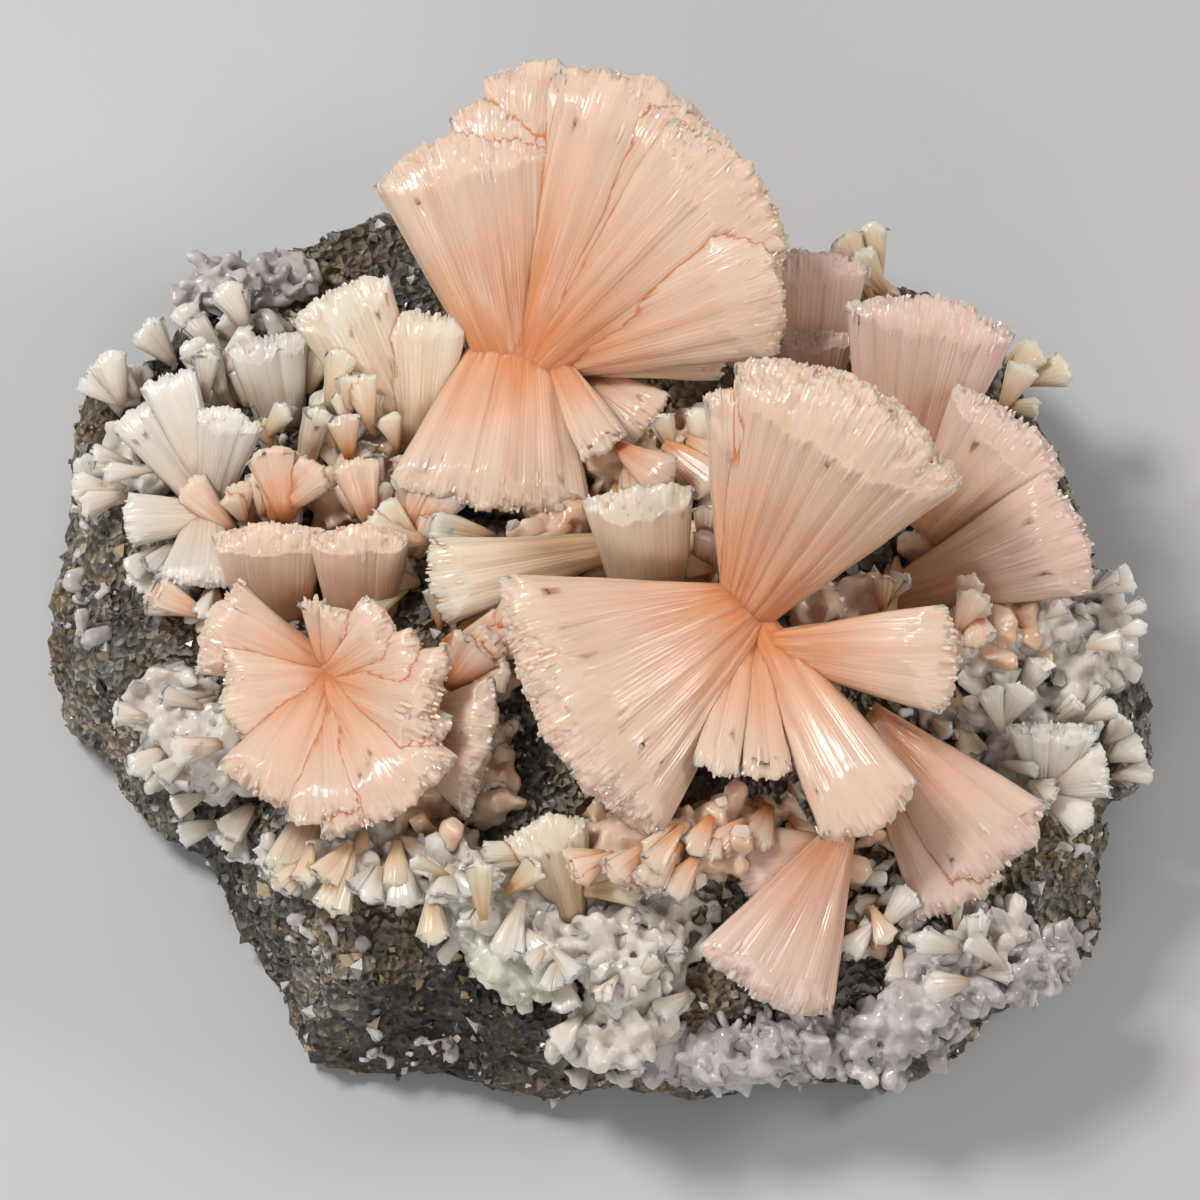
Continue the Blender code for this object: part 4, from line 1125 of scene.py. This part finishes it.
# ---------------------------------------------------------------- small sheaves between the large ones: x, y, half widths, count, size in mm, look, centre they point away from
SHEAVES = {
    "small_white_sheaves": (ICE, [
        (170, 390, 54, 30, 9, 5.2, (215, 500)), (135, 470, 30, 50, 8, 4.6, (210, 500)), (245, 365, 50, 40, 9, 5.2, (270, 430)), (225, 440, 30, 30, 5, 4.0, (215, 500)),
        (190, 560, 40, 40, 6, 4.2, (210, 510)), (190, 720, 50, 40, 8, 4.4, (300, 690)), (240, 800, 50, 30, 7, 4.0, (330, 700)), (150, 760, 30, 30, 3, 3.6, None),
        (1085, 610, 44, 40, 8, 4.4, (1010, 660)), (1040, 710, 50, 40, 9, 4.8, (1000, 760)), (1095, 770, 34, 40, 6, 4.0, (1030, 785)), (1010, 800, 50, 40, 8, 4.6, (960, 760)),
        (540, 950, 50, 50, 8, 4.6, None), (630, 1000, 60, 50, 9, 4.6, None), (420, 850, 60, 30, 8, 4.4, (400, 760)), (900, 920, 34, 30, 5, 4.4, None), (960, 960, 50, 34, 7, 4.6, None)]),
    "small_cream_sheaves": (CREAM, [
        (250, 420, 40, 34, 7, 4.8, (280, 480)), (320, 410, 40, 40, 7, 5.2, (330, 490)), (385, 420, 40, 30, 7, 5.0, (380, 490)), (340, 845, 60, 28, 8, 5.4, (360, 780)),
        (470, 880, 40, 40, 6, 4.8, None), (950, 700, 30, 30, 5, 4.2, (890, 650)), (460, 570, 80, 40, 8, 5.4, (600, 560)), (690, 490, 34, 50, 6, 5.0, (680, 580)),
        (735, 340, 34, 50, 6, 5.8, (790, 430)), (850, 270, 60, 40, 8, 6.2, (880, 400)), (960, 270, 50, 40, 7, 6.0, (920, 400)), (1025, 380, 30, 60, 7, 5.4, (940, 440)), (590, 880, 50, 40, 5, 4.8, None)]),
    "small_peach_sheaves": (PEACH, [
        (265, 550, 60, 40, 9, 6.4, (280, 640)), (365, 550, 60, 40, 9, 6.4, (360, 640)), (390, 470, 50, 40, 8, 4.6, (400, 540)), (240, 610, 50, 30, 6, 5.4, (330, 670)),
        (450, 720, 50, 70, 10, 6.6, (350, 690)), (490, 640, 60, 40, 7, 5.6, (400, 690)), (620, 840, 70, 30, 9, 5.2, (740, 760)), (730, 850, 60, 40, 8, 5.0, (760, 760)),
        (640, 450, 60, 50, 9, 5.6, (580, 370)), (620, 540, 60, 40, 7, 5.2, (640, 460)), (800, 810, 44, 50, 5, 5.0, (760, 700)), (900, 620, 70, 24, 7, 4.4, (880, 700)), (700, 560, 40, 30, 5, 4.2, None),
        (880, 340, 60, 60, 8, 6.4, (900, 460)), (990, 480, 40, 60, 6, 6.0, (930, 520)), (930, 590, 60, 40, 6, 5.0, (900, 540)), (840, 900, 40, 40, 4, 4.2, None)]),
}
for k, (name, (look, spots)) in enumerate(SHEAVES.items()):
    rng = np.random.default_rng(4000 + k)
    lobes = []
    for px, py, rx, ry, count, size, away in spots:
        for x, y, p, nrm in show(under, rng, px, py, rx, ry, count):
            g = (p[2] - ground(p[0], p[1])) * 1000
            s = size * rng.uniform(0.65, 1.3)
            if away:
                a = math.atan2(y - away[1], x - away[0]) + rng.normal(0, 0.35)
            else:
                a = rng.uniform(0, 2 * np.pi)
            lean = rng.uniform(0.70, 1.0)
            w1 = s * rng.uniform(0.28, 0.44) / 0.108
            up = s * (0.30 - 0.25 * math.sin(a)) + rng.uniform(0.2, 0.9)
            ident += 1
            f = Fan((x, y, g + 0.25 * s, x + math.cos(a) * s * lean / 0.108, y + math.sin(a) * s * lean / 0.108, g + 0.2 * s + up, w1 * 0.35, w1, w1 * 0.3, w1 * rng.uniform(0.40, 0.65), 0, 0.12), 7000 + ident, ident)
            heap = Heap()
            f.skin(heap, pitch=0.66, jag=0.8, small=True)
            lobes.append(heap.mesh(f"{name}_{len(lobes)}", [look]))
    piece = unite(lobes)
    piece.name = piece.data.name = name
    settle(piece, None, SLOT[id(look)])
    print("PIECE", piece.name, sum(len(p.vertices) - 2 for p in piece.data.polygons))
for slot_name, (name, look) in TIPS.items():
    if ends[slot_name].v:
        thin(ends[slot_name], 3).build(name, [look], None, slot_name)

# ---------------------------------------------------------------- grains on the basalt
heap = Heap()
rng = np.random.default_rng(77)
mesh = rock.data
nf = len(mesh.polygons)
cen = np.empty(nf * 3, np.float32)
mesh.polygons.foreach_get("center", cen)
cen = cen.reshape(-1, 3).astype(float)
fnor = np.empty(nf * 3, np.float32)
mesh.polygons.foreach_get("normal", fnor)
fnor = fnor.reshape(-1, 3).astype(float)
ok = np.where((cen[:, 2] > 0.0012) & (fnor[:, 2] > -0.6))[0]
n = 4200
pick = rng.choice(ok, n)
P = cen[pick] + M + rng.normal(0, 0.0002, (n, 3))
d = rough_directions(rng, fnor[pick], 0.8)
ref = np.where(np.abs(d[:, 2:3]) < 0.9, np.array([[0, 0, 1.0]]), np.array([[1.0, 0, 0]]))
X = unit(np.cross(d, ref))
Y = np.cross(d, X)
L = rng.gamma(3, 0.00026, n).clip(0.0003, 0.0022)
corners = np.array([(1, 1, 0.3), (-1, 1, -0.2), (-1, -1, 0.3), (1, -1, -0.2), (0.2, -0.1, 1.0), (-0.2, 0.2, -1.0)]) * rng.uniform(0.5, 1.1, (n, 6, 3)) * 0.5
V = P[:, None] + (X[:, None] * corners[..., :1] + Y[:, None] * corners[..., 1:2] + d[:, None] * corners[..., 2:]) * L[:, None, None]
octa = np.array([(0, 1, 4), (1, 2, 4), (2, 3, 4), (3, 0, 4), (1, 0, 5), (2, 1, 5), (3, 2, 5), (0, 3, 5)])
chance = rng.random(n)
heap.add(V, octa[None] + (np.arange(n) * 6)[:, None, None], V * 1000, np.stack([np.full((n, 6), 0.5), np.repeat(chance[:, None], 6, 1), np.zeros((n, 6))], -1))
heap.build("basalt_grains", [GRAINS], None, "basalt")

# ---------------------------------------------------------------- floor, light, camera
size = 3.0
mesh = bpy.data.meshes.new("floor")
mesh.from_pydata([(-size, -size, 0), (size, -size, 0), (size, size, 0), (-size, size, 0)], [], [(0, 1, 2, 3)])
floor = bpy.data.objects.new("floor", mesh)
bpy.context.scene.collection.objects.link(floor)
fm = bpy.data.materials.new("floor_paper")
fm.use_nodes = True
fb = fm.node_tree.nodes["Principled BSDF"]
fb.inputs["Base Color"].default_value = (0.62, 0.62, 0.63, 1)
fb.inputs["Roughness"].default_value = 0.85
mesh.materials.append(fm)
floor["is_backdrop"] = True

world = bpy.data.worlds.new("studio")
bpy.context.scene.world = world
world.use_nodes = True
world.node_tree.nodes["Background"].inputs[0].default_value = (1.0, 0.98, 0.96, 1)
world.node_tree.nodes["Background"].inputs[1].default_value = 0.20


def area(name, at, target, size, watts, colour=(1, 1, 1)):
    lamp = bpy.data.lights.new(name, "AREA")
    lamp.shape = "RECTANGLE"
    lamp.size, lamp.size_y = size
    lamp.energy = watts
    lamp.color = colour
    ob = bpy.data.objects.new(name, lamp)
    ob.location = at
    ob.rotation_euler = (Vector(target) - Vector(at)).to_track_quat("-Z", "Y").to_euler()
    bpy.context.scene.collection.objects.link(ob)
    return ob


area("key", (-0.24, 0.10, 0.44), (0, 0, 0.03), (0.12, 0.12), 1.5, (1.0, 0.985, 0.96))
area("fill", (0.40, 0.02, 0.30), (0, 0, 0.03), (0.12, 0.16), 0.65, (1.0, 0.98, 0.95))
area("front", (-0.10, -0.40, 0.36), (0, 0, 0.03), (0.30, 0.14), 0.52, (1.0, 0.99, 0.97))
scene = bpy.context.scene
scene.cycles.max_bounces = 5
scene.cycles.adaptive_threshold = 0.06
scene.cycles.use_light_tree = False
scene.cycles.diffuse_bounces = 2
scene.cycles.glossy_bounces = 2
scene.cycles.transmission_bounces = 5
scene.cycles.caustics_reflective = scene.cycles.caustics_refractive = False

cam = bpy.data.cameras.new("camera")
cam.lens, cam.sensor_width = 150, 36
cam.clip_start, cam.clip_end = 0.01, 20
camera = bpy.data.objects.new("camera", cam)
camera.location = EYE_W
camera.rotation_euler = BACK.to_track_quat("Z", "Y").to_euler()
bpy.context.scene.collection.objects.link(camera)
bpy.context.scene.camera = camera
bpy.context.scene.view_settings.view_transform = "Standard"

low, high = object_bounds()
